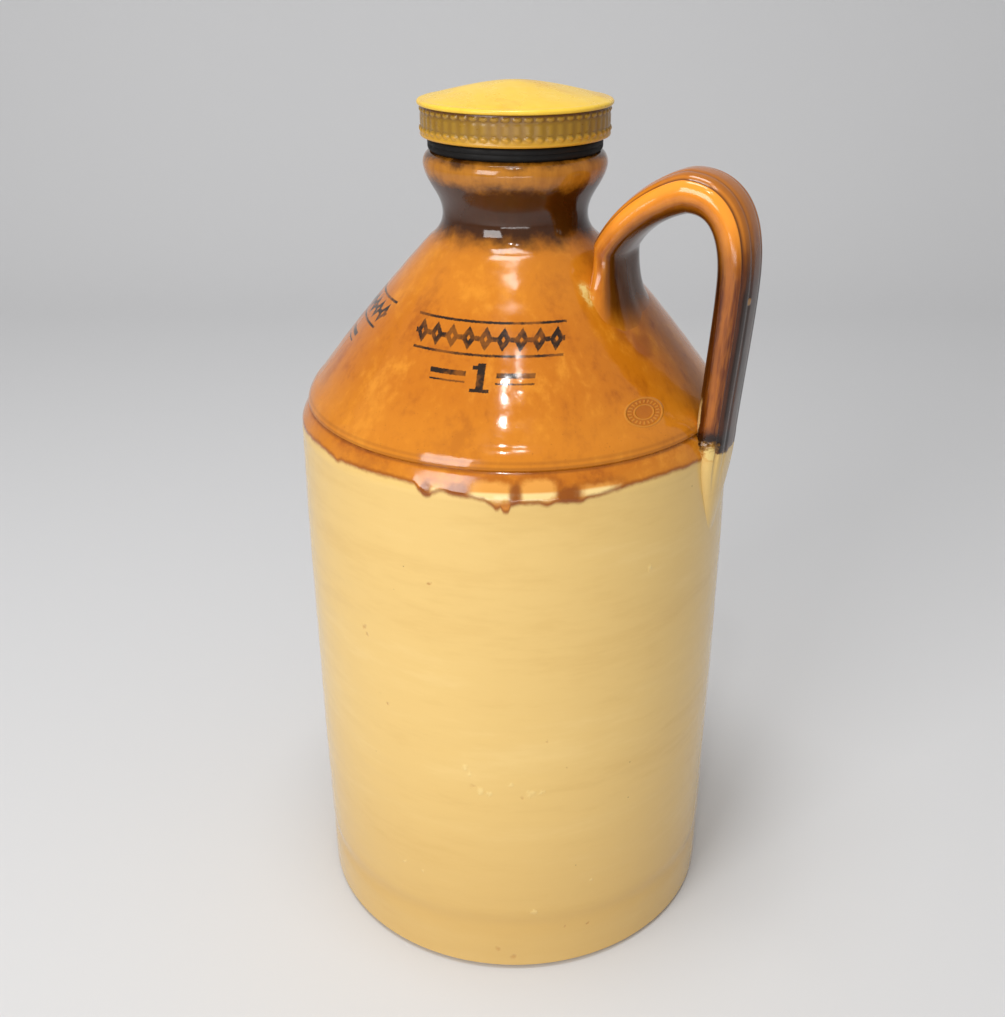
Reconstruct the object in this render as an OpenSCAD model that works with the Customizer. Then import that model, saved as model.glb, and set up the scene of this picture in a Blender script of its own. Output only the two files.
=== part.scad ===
// Stoneware crock jug with a luted shoulder, a pulled strap handle and a screw stopper on a rubber ring.
// Millimetres, +Z up, origin on the floor under the jug's axis, handle along +X.

/* [Crock] */
// Outside diameter of the crock at its heel and at its top corner
crock_d = 176; // [160:1:190]
// Height of the luted seam between crock and shoulder
seam_z = 234; // [215:1:250]
// Thickness of the crock's wall
crock_wall = 8.5; // [7:0.5:10]
// Thickness of the base
base_t = 11; // [8:0.5:15]
// Swelling of the wall's radius at half its height
belly = 0.6; // [0:0.1:1.5]
// Width of the bevel under the heel
heel_w = 2.8; // [1.5:0.1:4]
// Height of the bevel under the heel
heel_h = 2.4; // [1.5:0.1:4]
// Rounding between the wall and the base inside
well_r = 12; // [6:1:16]
// Height of the rounded ledge below the seam
ledge_h = 11.5; // [8:0.5:15]
// How far the ledge draws in up to the seam
ledge_in = 3.7; // [2:0.1:5]
// Depth of the groove at the seam
groove_d = 0.8; // [0.3:0.1:1.2]
// Half the height of the groove at the seam
groove_h = 0.9; // [0.5:0.1:1.5]

/* [Shoulder] */
// Height of the shoulder, from the seam to the foot of the neck
shoulder_h = 63; // [55:1:70]
// Thickness of the shoulder's wall
shoulder_wall = 8.5; // [7:0.5:10]
// Diameter where the shoulder runs into the neck
crown_d = 67.6; // [62:0.2:72]
// Height of the shoulder's rounded foot
foot_h = 8; // [5:0.5:11]
// How far the rounded foot draws in
foot_in = 4.4; // [3:0.1:6]
// Swelling of the cone outwards at its middle
cone_swell = 0.9; // [0:0.1:2]

/* [Neck] */
// Outside diameter of the neck at its narrowest
neck_d = 56; // [54:0.5:60]
// Height from the foot of the neck to its narrowest
neck_rise = 10; // [7:0.5:14]
// Height of the flare from the neck to the rim
flare_h = 15; // [11:0.5:20]
// Outside diameter of the rolled rim
rim_d = 70; // [66:0.5:74]
// Height of the rolled rim
rim_h = 8.1; // [6.5:0.1:11]
// Rounding of the rim's upper edge
rim_r = 2.6; // [1.5:0.1:3]
// Bevel at the mouth's inner edge
mouth_bevel = 1; // [0.5:0.1:1.5]
// Depth of the plain entry above the thread
entry_h = 7; // [5:0.5:10]

/* [Screw thread] */
// Rise of the thread in one turn
thread_pitch = 7; // [6:0.5:8]
// Height of the thread over the shank
thread_depth = 2.4; // [1.5:0.1:2.6]
// Width of the thread at the shank
thread_foot_w = 4.2; // [3.4:0.1:4.6]
// Width of the thread at its crest
thread_crest_w = 1.6; // [1:0.1:2]
// Turns of thread on the stopper
thread_turns = 1.8; // [1.2:0.1:1.8]
// Clearance all round between the two threads
thread_gap = 0.5; // [0.4:0.1:0.7]

/* [Screw stopper] */
// Diameter of the shank under the thread
shank_d = 37.8; // [34:0.2:39]
// Length of the shank below the cap
shank_h = 34; // [32:0.5:36]
// Diameter of the hollow in the shank
hollow_d = 24; // [18:0.5:28]
// Thickness left above the hollow, below the cap's disc
hollow_roof = 5; // [3:0.5:8]
// Diameter of the grip band between its ribs
band_d = 71.2; // [68:0.2:74]
// Height of the grip band
band_h = 11.1; // [9:0.1:13]
// Diameter of the domed disc
disc_d = 73.2; // [72:0.2:78]
// Height of the disc's upright edge
disc_edge = 1.8; // [1:0.1:3]
// Rise of the dome over the disc's edge
dome_h = 6.2; // [4:0.1:9]
// Number of ribs and beads round the grip
ribs = 56; // [40:1:72]
// Height of the ribs over the band
rib_d = 0.45; // [0.2:0.05:0.8]
// Height of the two bead rows over the band
bead_d = 0.6; // [0.3:0.05:0.9]
// Height of each bead row
bead_h = 2.1; // [1.2:0.1:2.6]
// Plain edge below the lower bead row, and above the upper one
band_edge = 1; // [0.5:0.1:1.5]

/* [Sealing ring] */
// Outside diameter of the rubber ring
ring_d = 66; // [60:0.5:68]
// Thickness of the rubber ring
ring_t = 5.2; // [3.5:0.1:7]
// Rounding of the ring's outer edges
ring_round = 1.6; // [0.5:0.1:1.7]
// Clearance between the ring and the stopper's collar
ring_gap = 0.3; // [0.2:0.05:0.5]

/* [Handle] */
// Distance of the strap's middle from the axis at its furthest
reach = 90.7; // [88:0.1:95]
// Height of the strap's middle at its furthest, above the seam
reach_z = 58.7; // [52:0.5:64]
// Distance of the strap's middle from the axis at its top
loop_x = 71.7; // [68:0.1:76]
// Height of the strap's middle at its top, above the seam
loop_z = 87.2; // [80:0.1:94]
// Distance of the strap's root from the axis
root_x = 39.5; // [37:0.1:42]
// Height of the strap's root above the seam
root_z = 49; // [47:0.1:52]
// Distance of the strap's middle from the axis at the seam
heel_x = 86.8; // [85:0.1:89]
// Length of the tail down the wall, below the seam
tail_h = 46; // [35:1:60]
// Width of the strap
strap_w = 26; // [22:0.5:30]
// Thickness of the strap at the top of the loop
strap_t = 15.5; // [12:0.5:17]
// Thickness of the strap down its leg
leg_t = 13; // [10:0.5:15]
// Width of the fanned root where it meets the shoulder
root_w = 33; // [28:0.5:40]
// Depth of the two finger grooves along the strap
finger_d = 0.9; // [0:0.1:1.4]
// Length of the thumbed pad under the root, down the shoulder
pad_l = 32; // [24:1:40]
// Thickness of the pad at the root
pad_t = 4.5; // [3:0.5:5]

/* [Hidden] */
$fn = 96;

// One overrun serves every cut
over = 2;
// Steps along each curved stretch of an outline
curve_n = 8;

crock_r = crock_d / 2;
wall_top_z = seam_z - ledge_h;
seam_r = crock_r - ledge_in;
seam_in_r = seam_r - crock_wall;
crock_in_r = crock_r - crock_wall;

foot_z = seam_z + foot_h;
foot_r = seam_r - foot_in;
crown_z = seam_z + shoulder_h;
crown_r = crown_d / 2;
neck_r = neck_d / 2;
neck_z = crown_z + neck_rise;
rim_z = neck_z + flare_h;
rim_out_r = rim_d / 2;
mouth_z = rim_z + rim_h;

shank_r = shank_d / 2;
crest_r = shank_r + thread_depth;
bore_r = shank_r + thread_gap;
entry_r = crest_r + thread_gap;
collar_r = crest_r;
entry_z = mouth_z - entry_h;

cap_z = mouth_z + ring_t;
band_r = band_d / 2;
disc_z = cap_z + band_h;
disc_r = disc_d / 2;
disc_top_z = disc_z + disc_edge;
shank_z = cap_z - shank_h;
collar_z = entry_z + thread_gap;

function mix(a, b, t) = a + (b - a) * t;
function quad(a, b, c, t) = mix(mix(a, b, t), mix(b, c, t), t);
function cubic(a, b, c, d, t) = mix(quad(a, b, c, t), quad(b, c, d, t), t);
function steps(n) = [for (i = [0 : n]) i / n];

// The outer outline of the crock from its heel to the groove, as radius and height
ledge_bend_share = 0.45;
function wall_curve() = [
    for (t = steps(2 * curve_n))
        [crock_r + belly * sin(180 * t), mix(heel_h, wall_top_z, t)]
];
function ledge_curve() = [
    for (t = steps(curve_n))
        quad(
            [crock_r, wall_top_z],
            [crock_r, wall_top_z + ledge_bend_share * ledge_h],
            [seam_r, seam_z - groove_h],
            t
        )
];

module crock_outline() {
    polygon(concat(
        [[0, 0], [crock_r - heel_w, 0]],
        wall_curve(),
        [for (i = [1 : curve_n]) ledge_curve()[i]],
        [[seam_r - groove_d, seam_z], [seam_in_r, seam_z]],
        [[crock_in_r, wall_top_z - ledge_in]],
        [
            for (t = steps(curve_n))
                [
                    crock_in_r - well_r * (1 - cos(90 * t)),
                    base_t + well_r * (1 - sin(90 * t))
                ]
        ],
        [[0, base_t]]
    ));
}

module crock_body() {
    color("#e6cc8c")
        rotate_extrude()
            crock_outline();
}

// The outer outline of the shoulder and neck from the groove to the rim's upper edge
foot_bend_share = 0.55;
crown_bend_share = 0.42;
flare_low_share = 0.53;
flare_high_share = 0.66;
flare_out_share = 0.66;
rim_tuck_share = 0.06;
function foot_curve() = [
    for (t = steps(curve_n))
        quad(
            [seam_r, seam_z + groove_h],
            [mix(foot_r, seam_r, foot_bend_share), mix(foot_z, seam_z, foot_bend_share)] +
                [(seam_r - foot_r) * foot_bend_share / 3, 0],
            [foot_r, foot_z],
            t
        )
];
cone_l = norm([foot_r - crown_r, crown_z - foot_z]);
cone_out = [(crown_z - foot_z) / cone_l, (foot_r - crown_r) / cone_l];
function cone_curve() = [
    for (t = steps(2 * curve_n))
        mix([foot_r, foot_z], [crown_r, crown_z], t) + cone_out * cone_swell * sin(180 * t)
];
function crown_curve() = [
    for (t = steps(curve_n))
        quad(
            [crown_r, crown_z],
            [neck_r, mix(crown_z, neck_z, crown_bend_share)],
            [neck_r, neck_z],
            t
        )
];
function flare_curve() = [
    for (t = steps(curve_n))
        cubic(
            [neck_r, neck_z],
            [neck_r, mix(neck_z, rim_z, flare_low_share)],
            [mix(neck_r, rim_out_r, flare_out_share), mix(neck_z, rim_z, flare_high_share)],
            [rim_out_r - rim_r * rim_tuck_share, rim_z],
            t
        )
];
function rim_curve() = [
    for (t = steps(curve_n))
        [
            rim_out_r - rim_r * (1 - cos(90 * t)),
            mouth_z - rim_r * (1 - sin(90 * t))
        ]
];
function shoulder_outer() = concat(
    foot_curve(),
    [for (i = [1 : 2 * curve_n]) cone_curve()[i]],
    [for (i = [1 : curve_n]) crown_curve()[i]],
    [for (i = [1 : curve_n]) flare_curve()[i]],
    rim_curve()
);

// Inside, the cone's wall runs parallel to the outside and rounds into the neck's bore
in_low = [seam_in_r, seam_z];
in_high = [crown_r, crown_z] - cone_out * shoulder_wall;
bore_start_share = 0.4;
bore_low_z = crown_z + shoulder_wall * bore_start_share;
module shoulder_outline() {
    polygon(concat(
        [in_low, [seam_r - groove_d, seam_z]],
        shoulder_outer(),
        [
            [entry_r + mouth_bevel, mouth_z],
            [entry_r, mouth_z - mouth_bevel],
            [entry_r, entry_z],
            [bore_r, entry_z - thread_depth],
            [bore_r, bore_low_z]
        ],
        [for (t = steps(curve_n)) quad([bore_r, bore_low_z], [bore_r, crown_z], in_high, t)]
    ));
}

// A ridge or a groove that climbs round the axis: each ring is an outline of radius and height
turn_n = 36;
crest_round_share = 0.6;
// A ridge that fades starts at this share of its height, still inside the shank
fade_share = 0.15;
fade_n = turn_n / 8;
module helix(z0, turns, root_r, tip_r, root_wide, tip_wide, fade) {
    n = ceil(turns * turn_n);
    function depth(i) = fade ? mix(fade_share, 1, min(1, i / fade_n, (n - i) / fade_n)) : 1;
    function ring(i) =
        let (
            a = 360 * turns * i / n,
            z = z0 + thread_pitch * turns * i / n,
            tip = mix(root_r, tip_r, depth(i)),
            round_r = mix(root_r, tip, crest_round_share),
            round_w = mix(root_wide, tip_wide, crest_round_share / 2)
        )
        [
            for (q = [
                [root_r, root_wide / 2],
                [round_r, round_w / 2],
                [tip, tip_wide / 2],
                [tip, -tip_wide / 2],
                [round_r, -round_w / 2],
                [root_r, -root_wide / 2]
            ]) [q[0] * cos(a), q[0] * sin(a), z + q[1]]
        ];
    sides = 6;
    polyhedron(
        points = [for (i = [0 : n]) each ring(i)],
        faces = concat(
            [[for (k = [0 : sides - 1]) k]],
            [
                for (i = [0 : n - 1], k = [0 : sides - 1])
                    let (k2 = (k + 1) % sides)
                    each [
                        [i * sides + k, (i + 1) * sides + k, (i + 1) * sides + k2],
                        [i * sides + k, (i + 1) * sides + k2, i * sides + k2]
                    ]
            ],
            [[for (k = [sides - 1 : -1 : 0]) n * sides + k]]
        )
    );
}

// The stopper's thread sits this far up from the shank's lower end
thread_z = shank_z + thread_foot_w;
// The ridge is rooted this deep in the shank, and the groove reaches this far into the open bore
thread_root = thread_depth / 2;
// The groove starts this much of a turn before the ridge
run_in_turns = 0.1;
// The groove's floor takes this share of the clearance, so that it stays clear of the entry's wall
groove_floor_share = 0.8;
groove_turns = (entry_z + thread_foot_w - thread_z) / thread_pitch + run_in_turns;
thread_root_w = thread_foot_w + (thread_foot_w - thread_crest_w) * thread_root / thread_depth;

module shoulder() {
    color("#c9822f")
        difference() {
            rotate_extrude()
                shoulder_outline();
            rotate([0, 0, -360 * run_in_turns])
                helix(
                    thread_z - run_in_turns * thread_pitch,
                    groove_turns,
                    shank_r - thread_root,
                    crest_r + thread_gap * groove_floor_share,
                    thread_root_w + 2 * thread_gap,
                    thread_crest_w + 2 * thread_gap,
                    false
                );
        }
}

module sealing_ring() {
    color("#1c1a18")
        rotate_extrude()
            translate([0, mouth_z])
                polygon(concat(
                    [[collar_r + ring_gap, 0]],
                    [
                        for (t = steps(curve_n))
                            [
                                ring_d / 2 - ring_round * (1 - sin(90 * t)),
                                ring_round * (1 - cos(90 * t))
                            ]
                    ],
                    [
                        for (t = steps(curve_n))
                            [
                                ring_d / 2 - ring_round * (1 - cos(90 * t)),
                                ring_t - ring_round * (1 - sin(90 * t))
                            ]
                    ],
                    [[collar_r + ring_gap, ring_t]]
                ));
}

// A short upright prism round the band, whose edge swells out once for each rib
module fluted(floor_d, swell, h, z) {
    per_rib = 6;
    n = ribs * per_rib;
    translate([0, 0, z])
        linear_extrude(height = h)
            polygon([
                for (i = [0 : n - 1])
                    let (r = band_r + mix(floor_d, swell, (1 + cos(360 * i / per_rib)) / 2))
                    [r * cos(360 * i / n), r * sin(360 * i / n)]
            ]);
}

// The dome rises straight from the disc's edge and rounds over at its peak
dome_round_share = 0.3;
module stopper_outline() {
    polygon(concat(
        [[0, shank_z], [shank_r - thread_gap * 2, shank_z], [shank_r, shank_z + thread_gap * 2]],
        [[shank_r, collar_z - thread_depth], [collar_r, collar_z]],
        [[collar_r, cap_z], [band_r - band_edge / 2, cap_z], [band_r, cap_z + band_edge / 2]],
        [[band_r, disc_z], [disc_r - disc_edge / 3, disc_z], [disc_r, disc_z + disc_edge / 3]],
        [[disc_r, disc_top_z - disc_edge / 3], [disc_r - disc_edge / 3, disc_top_z]],
        [
            for (t = steps(curve_n))
                quad(
                    [disc_r * dome_round_share, disc_top_z + dome_h * (1 - dome_round_share)],
                    [disc_r * dome_round_share / 3, disc_top_z + dome_h],
                    [0, disc_top_z + dome_h],
                    t
                )
        ]
    ));
}

module screw_stopper() {
    bead_low_z = cap_z + band_edge;
    bead_high_z = disc_z - band_edge - bead_h;
    color("#d8a83c")
        difference() {
            union() {
                rotate_extrude()
                    stopper_outline();
                helix(
                    thread_z,
                    thread_turns,
                    shank_r - thread_root,
                    crest_r,
                    thread_root_w,
                    thread_crest_w,
                    true
                );
                fluted(rib_d / 4, rib_d, bead_high_z - bead_low_z, bead_low_z + bead_h / 2);
                fluted(bead_d / 3, bead_d, bead_h, bead_low_z);
                fluted(bead_d / 3, bead_d, bead_h, bead_high_z);
            }
            translate([0, 0, shank_z - over])
                cylinder(h = disc_z - hollow_roof - shank_z + over, d = hollow_d);
        }
}

// The strap's middle line, as distance from the axis and height, in four cubic stretches
strap_n = 14;
root_rise_share = 0.72;
loop_in_share = 0.88;
loop_out_share = 0.57;
reach_up_share = 0.75;
reach_down_share = 0.22;
heel_up_share = 0.31;
root_p = [root_x, seam_z + root_z];
loop_p = [loop_x, seam_z + loop_z];
reach_p = [reach, seam_z + reach_z];
heel_p = [heel_x, seam_z];
tail_p = [crock_r - leg_t / 4, seam_z - tail_h];
strap_stretches = [
    [
        root_p,
        [root_x, mix(root_p[1], loop_p[1], root_rise_share)],
        [mix(root_x, loop_x, loop_in_share), loop_p[1]],
        loop_p
    ],
    [
        loop_p,
        [mix(loop_x, reach, loop_out_share), loop_p[1]],
        [reach, mix(reach_p[1], loop_p[1], reach_up_share)],
        reach_p
    ],
    [
        reach_p,
        [reach, mix(reach_p[1], seam_z, reach_down_share)],
        [mix(heel_x, reach, heel_up_share), mix(seam_z, reach_p[1], heel_up_share)],
        heel_p
    ],
    [
        heel_p,
        [mix(heel_x, reach, -heel_up_share / 2), mix(seam_z, tail_p[1], heel_up_share)],
        [crock_r - leg_t / 12, mix(tail_p[1], seam_z, heel_up_share)],
        tail_p
    ]
];
function strap_line() = concat(
    [
        for (s = strap_stretches, i = [0 : strap_n - 1])
            cubic(s[0], s[1], s[2], s[3], i / strap_n)
    ],
    [tail_p]
);

// Width and thickness of the strap, given at the ends of its four stretches and eased in between
tail_w_share = 0.4;
tail_t_share = 0.45;
root_t_share = 0.75;
root_fan_share = 0.3;
function eased(v, u) =
    let (i = min(floor(u), len(v) - 2), t = u - i)
    mix(v[i], v[i + 1], (1 - cos(180 * t)) / 2);
function strap_width(u) =
    u < root_fan_share
        ? mix(root_w, strap_w, sin(90 * u / root_fan_share))
        : eased([strap_w, strap_w, strap_w, strap_w * 1.05, strap_w * tail_w_share], u);
function strap_thick(u) = eased([strap_t * root_t_share, strap_t, leg_t, leg_t, leg_t * tail_t_share], u);

function strap_groove(u) = eased([0, finger_d, finger_d, finger_d, 0], u);

// One ring of a strap: a flattened oval with two finger grooves along its outer face
ring_n = 28;
finger_place_share = 0.42;
finger_width_share = 0.24;
oval_share = 0.75;
pad_oval_share = 1;
function signed_power(x, p) = sign(x) * pow(abs(x), p);
function finger(v) =
    let (d = abs(abs(v) - finger_place_share) / finger_width_share)
    d < 1 ? (1 + cos(180 * d)) / 2 : 0;
function strap_ring(centre, along, w, t, groove, oval) =
    let (out = [-along[1], along[0]])
    [
        for (k = [0 : ring_n - 1])
            let (
                a = 360 * k / ring_n,
                v = signed_power(cos(a), oval),
                h = signed_power(sin(a), oval) * t / 2,
                d = h > 0 ? h - groove * finger(v) : h,
                p = centre + out * d
            )
            [p[0], v * w / 2, p[1]]
    ];

module swept(rings) {
    n = len(rings) - 1;
    m = len(rings[0]);
    polyhedron(
        points = [for (r = rings) each r],
        faces = concat(
            [[for (k = [0 : m - 1]) k]],
            [
                for (i = [0 : n - 1], k = [0 : m - 1])
                    let (k2 = (k + 1) % m)
                    each [
                        [i * m + k, (i + 1) * m + k, (i + 1) * m + k2],
                        [i * m + k, (i + 1) * m + k2, i * m + k2]
                    ]
            ],
            [[for (k = [m - 1 : -1 : 0]) n * m + k]]
        )
    );
}

function unit(v) = v / norm(v);
function along(line, i) = unit(line[min(i + 1, len(line) - 1)] - line[max(i - 1, 0)]);

// The thumbed pad starts inside the root and thins out down the shoulder's slope
pad_n = 12;
pad_w_share = 0.9;
pad_tail_share = 0.12;
pad_narrow_share = 0.3;
root_share = (foot_r - root_x) / (foot_r - crown_r);
function pad_line() = [
    for (i = [0 : pad_n])
        mix([foot_r, foot_z], [crown_r, crown_z], root_share - (pad_l / cone_l) * i / pad_n)
];

// The room that the pots' own outsides take from the handle
module pots() {
    rotate_extrude()
        polygon(concat(
            [[0, 0], [crock_r - heel_w, 0]],
            wall_curve(),
            [for (i = [1 : curve_n]) ledge_curve()[i]],
            [[seam_r - groove_d, seam_z]],
            shoulder_outer(),
            [[0, mouth_z]]
        ));
}

module handle() {
    line = strap_line();
    color("#b8701f")
        difference() {
            union() {
                swept([
                    for (i = [0 : len(line) - 1])
                        let (u = i / strap_n)
                        strap_ring(
                            line[i],
                            along(line, i),
                            strap_width(u),
                            strap_thick(u),
                            strap_groove(u),
                            oval_share
                        )
                ]);
                swept([
                    for (i = [0 : pad_n])
                        let (
                            u = i / pad_n,
                            slim = mix(1, pad_tail_share, u)
                        )
                        strap_ring(
                            pad_line()[i],
                            [cone_out[1], -cone_out[0]],
                            root_w * pad_w_share * mix(1, pad_narrow_share, u),
                            2 * pad_t * slim,
                            0,
                            pad_oval_share
                        )
                ]);
            }
            pots();
        }
}

crock_body();
shoulder();
handle();
sealing_ring();
screw_stopper();
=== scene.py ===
"""Dresses the stoneware crock jug: crock, luted shoulder, pulled handle, rubber ring and screw stopper."""

import math

import bmesh
import bpy
from bpy.props import FloatProperty, FloatVectorProperty, IntProperty, PointerProperty
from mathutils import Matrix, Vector, noise


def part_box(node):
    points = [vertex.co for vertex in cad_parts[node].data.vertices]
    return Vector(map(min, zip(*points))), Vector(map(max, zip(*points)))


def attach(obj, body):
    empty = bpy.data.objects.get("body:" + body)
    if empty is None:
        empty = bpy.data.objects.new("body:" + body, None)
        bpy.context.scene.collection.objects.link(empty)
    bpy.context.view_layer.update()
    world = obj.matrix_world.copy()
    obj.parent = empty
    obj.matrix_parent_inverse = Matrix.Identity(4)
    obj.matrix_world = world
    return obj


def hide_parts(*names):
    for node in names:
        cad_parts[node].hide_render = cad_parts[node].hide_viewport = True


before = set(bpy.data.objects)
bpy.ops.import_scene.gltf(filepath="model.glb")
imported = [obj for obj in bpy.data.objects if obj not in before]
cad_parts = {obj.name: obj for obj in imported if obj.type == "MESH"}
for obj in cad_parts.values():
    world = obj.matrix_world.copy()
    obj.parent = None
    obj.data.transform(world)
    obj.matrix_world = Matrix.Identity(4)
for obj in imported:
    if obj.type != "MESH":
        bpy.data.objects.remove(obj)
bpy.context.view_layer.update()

bl_info = {
    "name": "Stoneware crock jug",
    "version": (1, 0, 0),
    "blender": (4, 5, 0),
    "location": "View3D > Sidebar > Jug",
    "description": "Builds a glazed stoneware jug with a strap handle and a screw stopper",
    "category": "Object",
}

MM = 0.001
# The front of the jug lies this many degrees round from the handle
FRONT_TURN = 62.0

# The sizes that pieces share are in millimetres. Radii of the crock's inside and of the land at its seam
WELL_R, LAND_IN_R, LAND_R = 79.5, 75.8, 83.5
# Radii of the neck's bore, of its plain entry and of the mouth
BORE_R, ENTRY_R, MOUTH_R = 19.4, 21.8, 22.8
# Radii of the stopper's shank, collar and hollow, of its grip and of the cap above and below it
SHANK_R, COLLAR_R, HOLLOW_R, GRIP_R, CAP_R = 18.9, 21.3, 12.0, 35.3, 35.7
# Heights of the cap's underside, of the ledge over its grip and of its brim
CAP, LEDGE, BRIM = 335.3, 346.4, 348.2
# Heights of the inside's floor and of the foot of the bore
FLOOR, BORE_FOOT = 11.0, 300.4
# Rise of the screw thread in a turn, and the height that its winding is counted from
THREAD_PITCH, THREAD_START = 7.0, 305.5


def top_of(name):
    """The highest point of a CAD node, in metres."""
    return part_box(name)[1].z


def reach_of(name):
    """Half the width of a round CAD node, in metres."""
    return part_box(name)[1].y


# ---------------------------------------------------------------- settings


def length(name, description, default):
    return FloatProperty(name=name, description=description, default=default, unit="LENGTH", precision=4)


def colour(name, description, red, green, blue):
    return FloatVectorProperty(
        name=name,
        description=description,
        default=(red / 255, green / 255, blue / 255),
        subtype="COLOR_GAMMA",
        size=3,
        min=0.0,
        max=1.0,
    )


class CrockSettings(bpy.types.PropertyGroup):
    """The cream cylinder."""

    radius: length("Radius", "Outside radius of the wall at its foot", 88 * MM)
    height: length("Height", "Height of the luted seam", top_of("crock_body"))
    belly: length("Belly", "Swelling of the wall at half its height", 0.45 * MM)
    ring_depth: length("Throwing rings", "Depth of the rings left by the potter's fingers", 0.1 * MM)
    cream: colour("Cream", "Colour of the cream glaze", 228, 191, 116)
    cream_deep: colour("Deep cream", "Colour where the cream glaze is thicker", 210, 168, 92)
    cream_light: colour("Light cream", "Colour where the cream glaze is thinner", 241, 209, 140)


class ShoulderSettings(bpy.types.PropertyGroup):
    """The tan cone, neck and rim."""

    height: length("Height", "Height of the mouth", top_of("shoulder"))
    tan: colour("Tan", "Colour of the tan glaze", 192, 110, 18)
    tan_light: colour("Light tan", "Colour where the tan glaze is thin", 219, 140, 38)
    tan_deep: colour("Deep tan", "Colour where the tan glaze is thick", 158, 80, 10)
    iron: colour("Iron brown", "Colour of the iron at edges, pools and specks", 78, 34, 10)


class HandleSettings(bpy.types.PropertyGroup):
    """The pulled strap."""

    width: length("Width", "Width of the strap", 26 * MM)
    groove: length("Groove", "Depth of the lines drawn along the strap", 0.8 * MM)


class StopperSettings(bpy.types.PropertyGroup):
    """The screw stopper and its ring."""

    height: length("Height", "Height of the dome's peak", top_of("screw_stopper"))
    radius: length("Radius", "Outside radius of the domed disc", reach_of("screw_stopper"))
    ribs: IntProperty(name="Ribs", description="Ribs and beads round the grip", default=56, min=12, max=120)
    gold: colour("Gold", "Colour of the stopper's glaze", 240, 197, 60)
    olive: colour("Olive", "Colour of the stopper's glaze in its hollows", 100, 62, 8)
    ring_radius: length("Ring radius", "Outside radius of the rubber ring", reach_of("sealing_ring"))
    rubber: colour("Rubber", "Colour of the rubber ring", 14, 12, 11)


class StageSettings(bpy.types.PropertyGroup):
    """The floor, lamps and camera."""

    floor: colour("Floor", "Colour of the floor and backdrop", 214, 214, 215)
    lens: FloatProperty(
        name="Lens", description="Focal length for a frame 36 mm high", default=41.1, unit="CAMERA"
    )
    key: FloatProperty(name="Key lamp", description="Power of the key lamp", default=17.0, unit="POWER")


# ---------------------------------------------------------------- curves and fields


def mix(a, b, t):
    return a + (b - a) * t


def mix2(a, b, t):
    return (mix(a[0], b[0], t), mix(a[1], b[1], t))


def bend(a, b, c, t):
    """A point on a curve from a to c that leans towards b."""
    return mix2(mix2(a, b, t), mix2(b, c, t), t)


def bend4(a, b, c, d, t):
    """A point on a curve from a to d that leans towards b and then c."""
    return mix2(bend(a, b, c, t), bend(b, c, d, t), t)


def steps(count, first=0):
    """Even steps from 0 to 1, without the first ones where another stretch has them."""
    return [i / count for i in range(first, count + 1)]


def ease(value, low, high):
    """0 below low, 1 above high and smooth between, also where high is the smaller."""
    t = min(max((value - low) / (high - low), 0.0), 1.0)
    return t * t * (3 - 2 * t)


def bell(value, middle, half):
    """1 at the middle, falling smoothly to 0 at half a width away."""
    t = abs(value - middle) / half
    return (1 + math.cos(math.pi * t)) / 2 if t < 1 else 0.0


def between(places, x, along=lambda t: t):
    """The value at x on straight lines through the places, each an x and a value."""
    for (x0, y0), (x1, y1) in zip(places, places[1:]):
        if x <= x1:
            return mix(y0, y1, along((x - x0) / (x1 - x0)))
    return places[-1][1]


def flowing(places, x):
    """The value at x of a line that levels out at each of the places."""
    return between(places, x, lambda t: ease(t, 0, 1))


def front_angle(co):
    """Degrees round the jug from its front, positive towards the handle."""
    turn = math.degrees(math.atan2(co.y, co.x)) + FRONT_TURN
    return (turn + 180) % 360 - 180


def wander(co, size, seed):
    """Smooth noise from -1 to 1 whose lumps are about that many millimetres across."""
    return noise.noise(Vector(co) * (1 / (size * MM)) + Vector((seed, seed * 0.7, -seed)))


# ---------------------------------------------------------------- the dipped edge


# The tan glaze's lower edge: degrees from the front, and height in millimetres
DIP_EDGE = [
    (-180, 227.5), (-150, 226.4), (-128, 227.8), (-104, 226.6), (-82, 226.2), (-58, 227.6), (-52, 227.2),
    (-49.5, 226.2), (-47.5, 227.3), (-34.5, 227.7), (-24.5, 227.8), (-22.7, 225.0), (-21.6, 223.8),
    (-20.5, 223.8), (-19.4, 225.4), (-17.6, 226.6), (-14, 225.4), (-10.5, 225.2), (-7.6, 224.6),
    (-5.6, 223.0), (-4.7, 221.0), (-3.9, 221.0), (-3.3, 221.9), (-2.7, 220.0), (-1.8, 220.0), (-0.9, 222.6),
    (1.2, 223.4), (5, 223.5), (7.6, 222.4), (9.4, 223.7), (12, 223.2), (15.3, 222.7), (17.2, 224.0),
    (19.5, 224.2), (24, 225.2), (28.5, 226.2), (34, 226.2), (40.5, 226.2), (48, 225.2), (55, 224.6),
    (69, 225.0), (80, 227.2), (104, 226.2), (127, 227.8), (151, 226.6), (180, 227.5),
]
# Thin places where the cream shows through: middle in degrees and millimetres up, and half the size each way
THIN_PLACES = [
    (-18.5, 227.2, 2.2, 1.9), (-5.7, 227.5, 5.2, 3.9), (5.2, 227.8, 4.5, 4.1), (19.8, 226.4, 5.0, 2.3),
]
# Dark pools between the thin places
POOLS = [
    (-21.4, 226.2, 1.6, 3.4), (-13.4, 227.4, 3.0, 2.6), (0.0, 226.8, 1.5, 4.2), (12.6, 225.8, 3.0, 3.6),
]
MM_PER_DEGREE = 1.52


def dip_height(co):
    """Millimetres above the tan glaze's lower edge."""
    return co.z / MM - flowing(DIP_EDGE, front_angle(co)) + 0.35 * wander(co, 6, 3.0)


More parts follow.
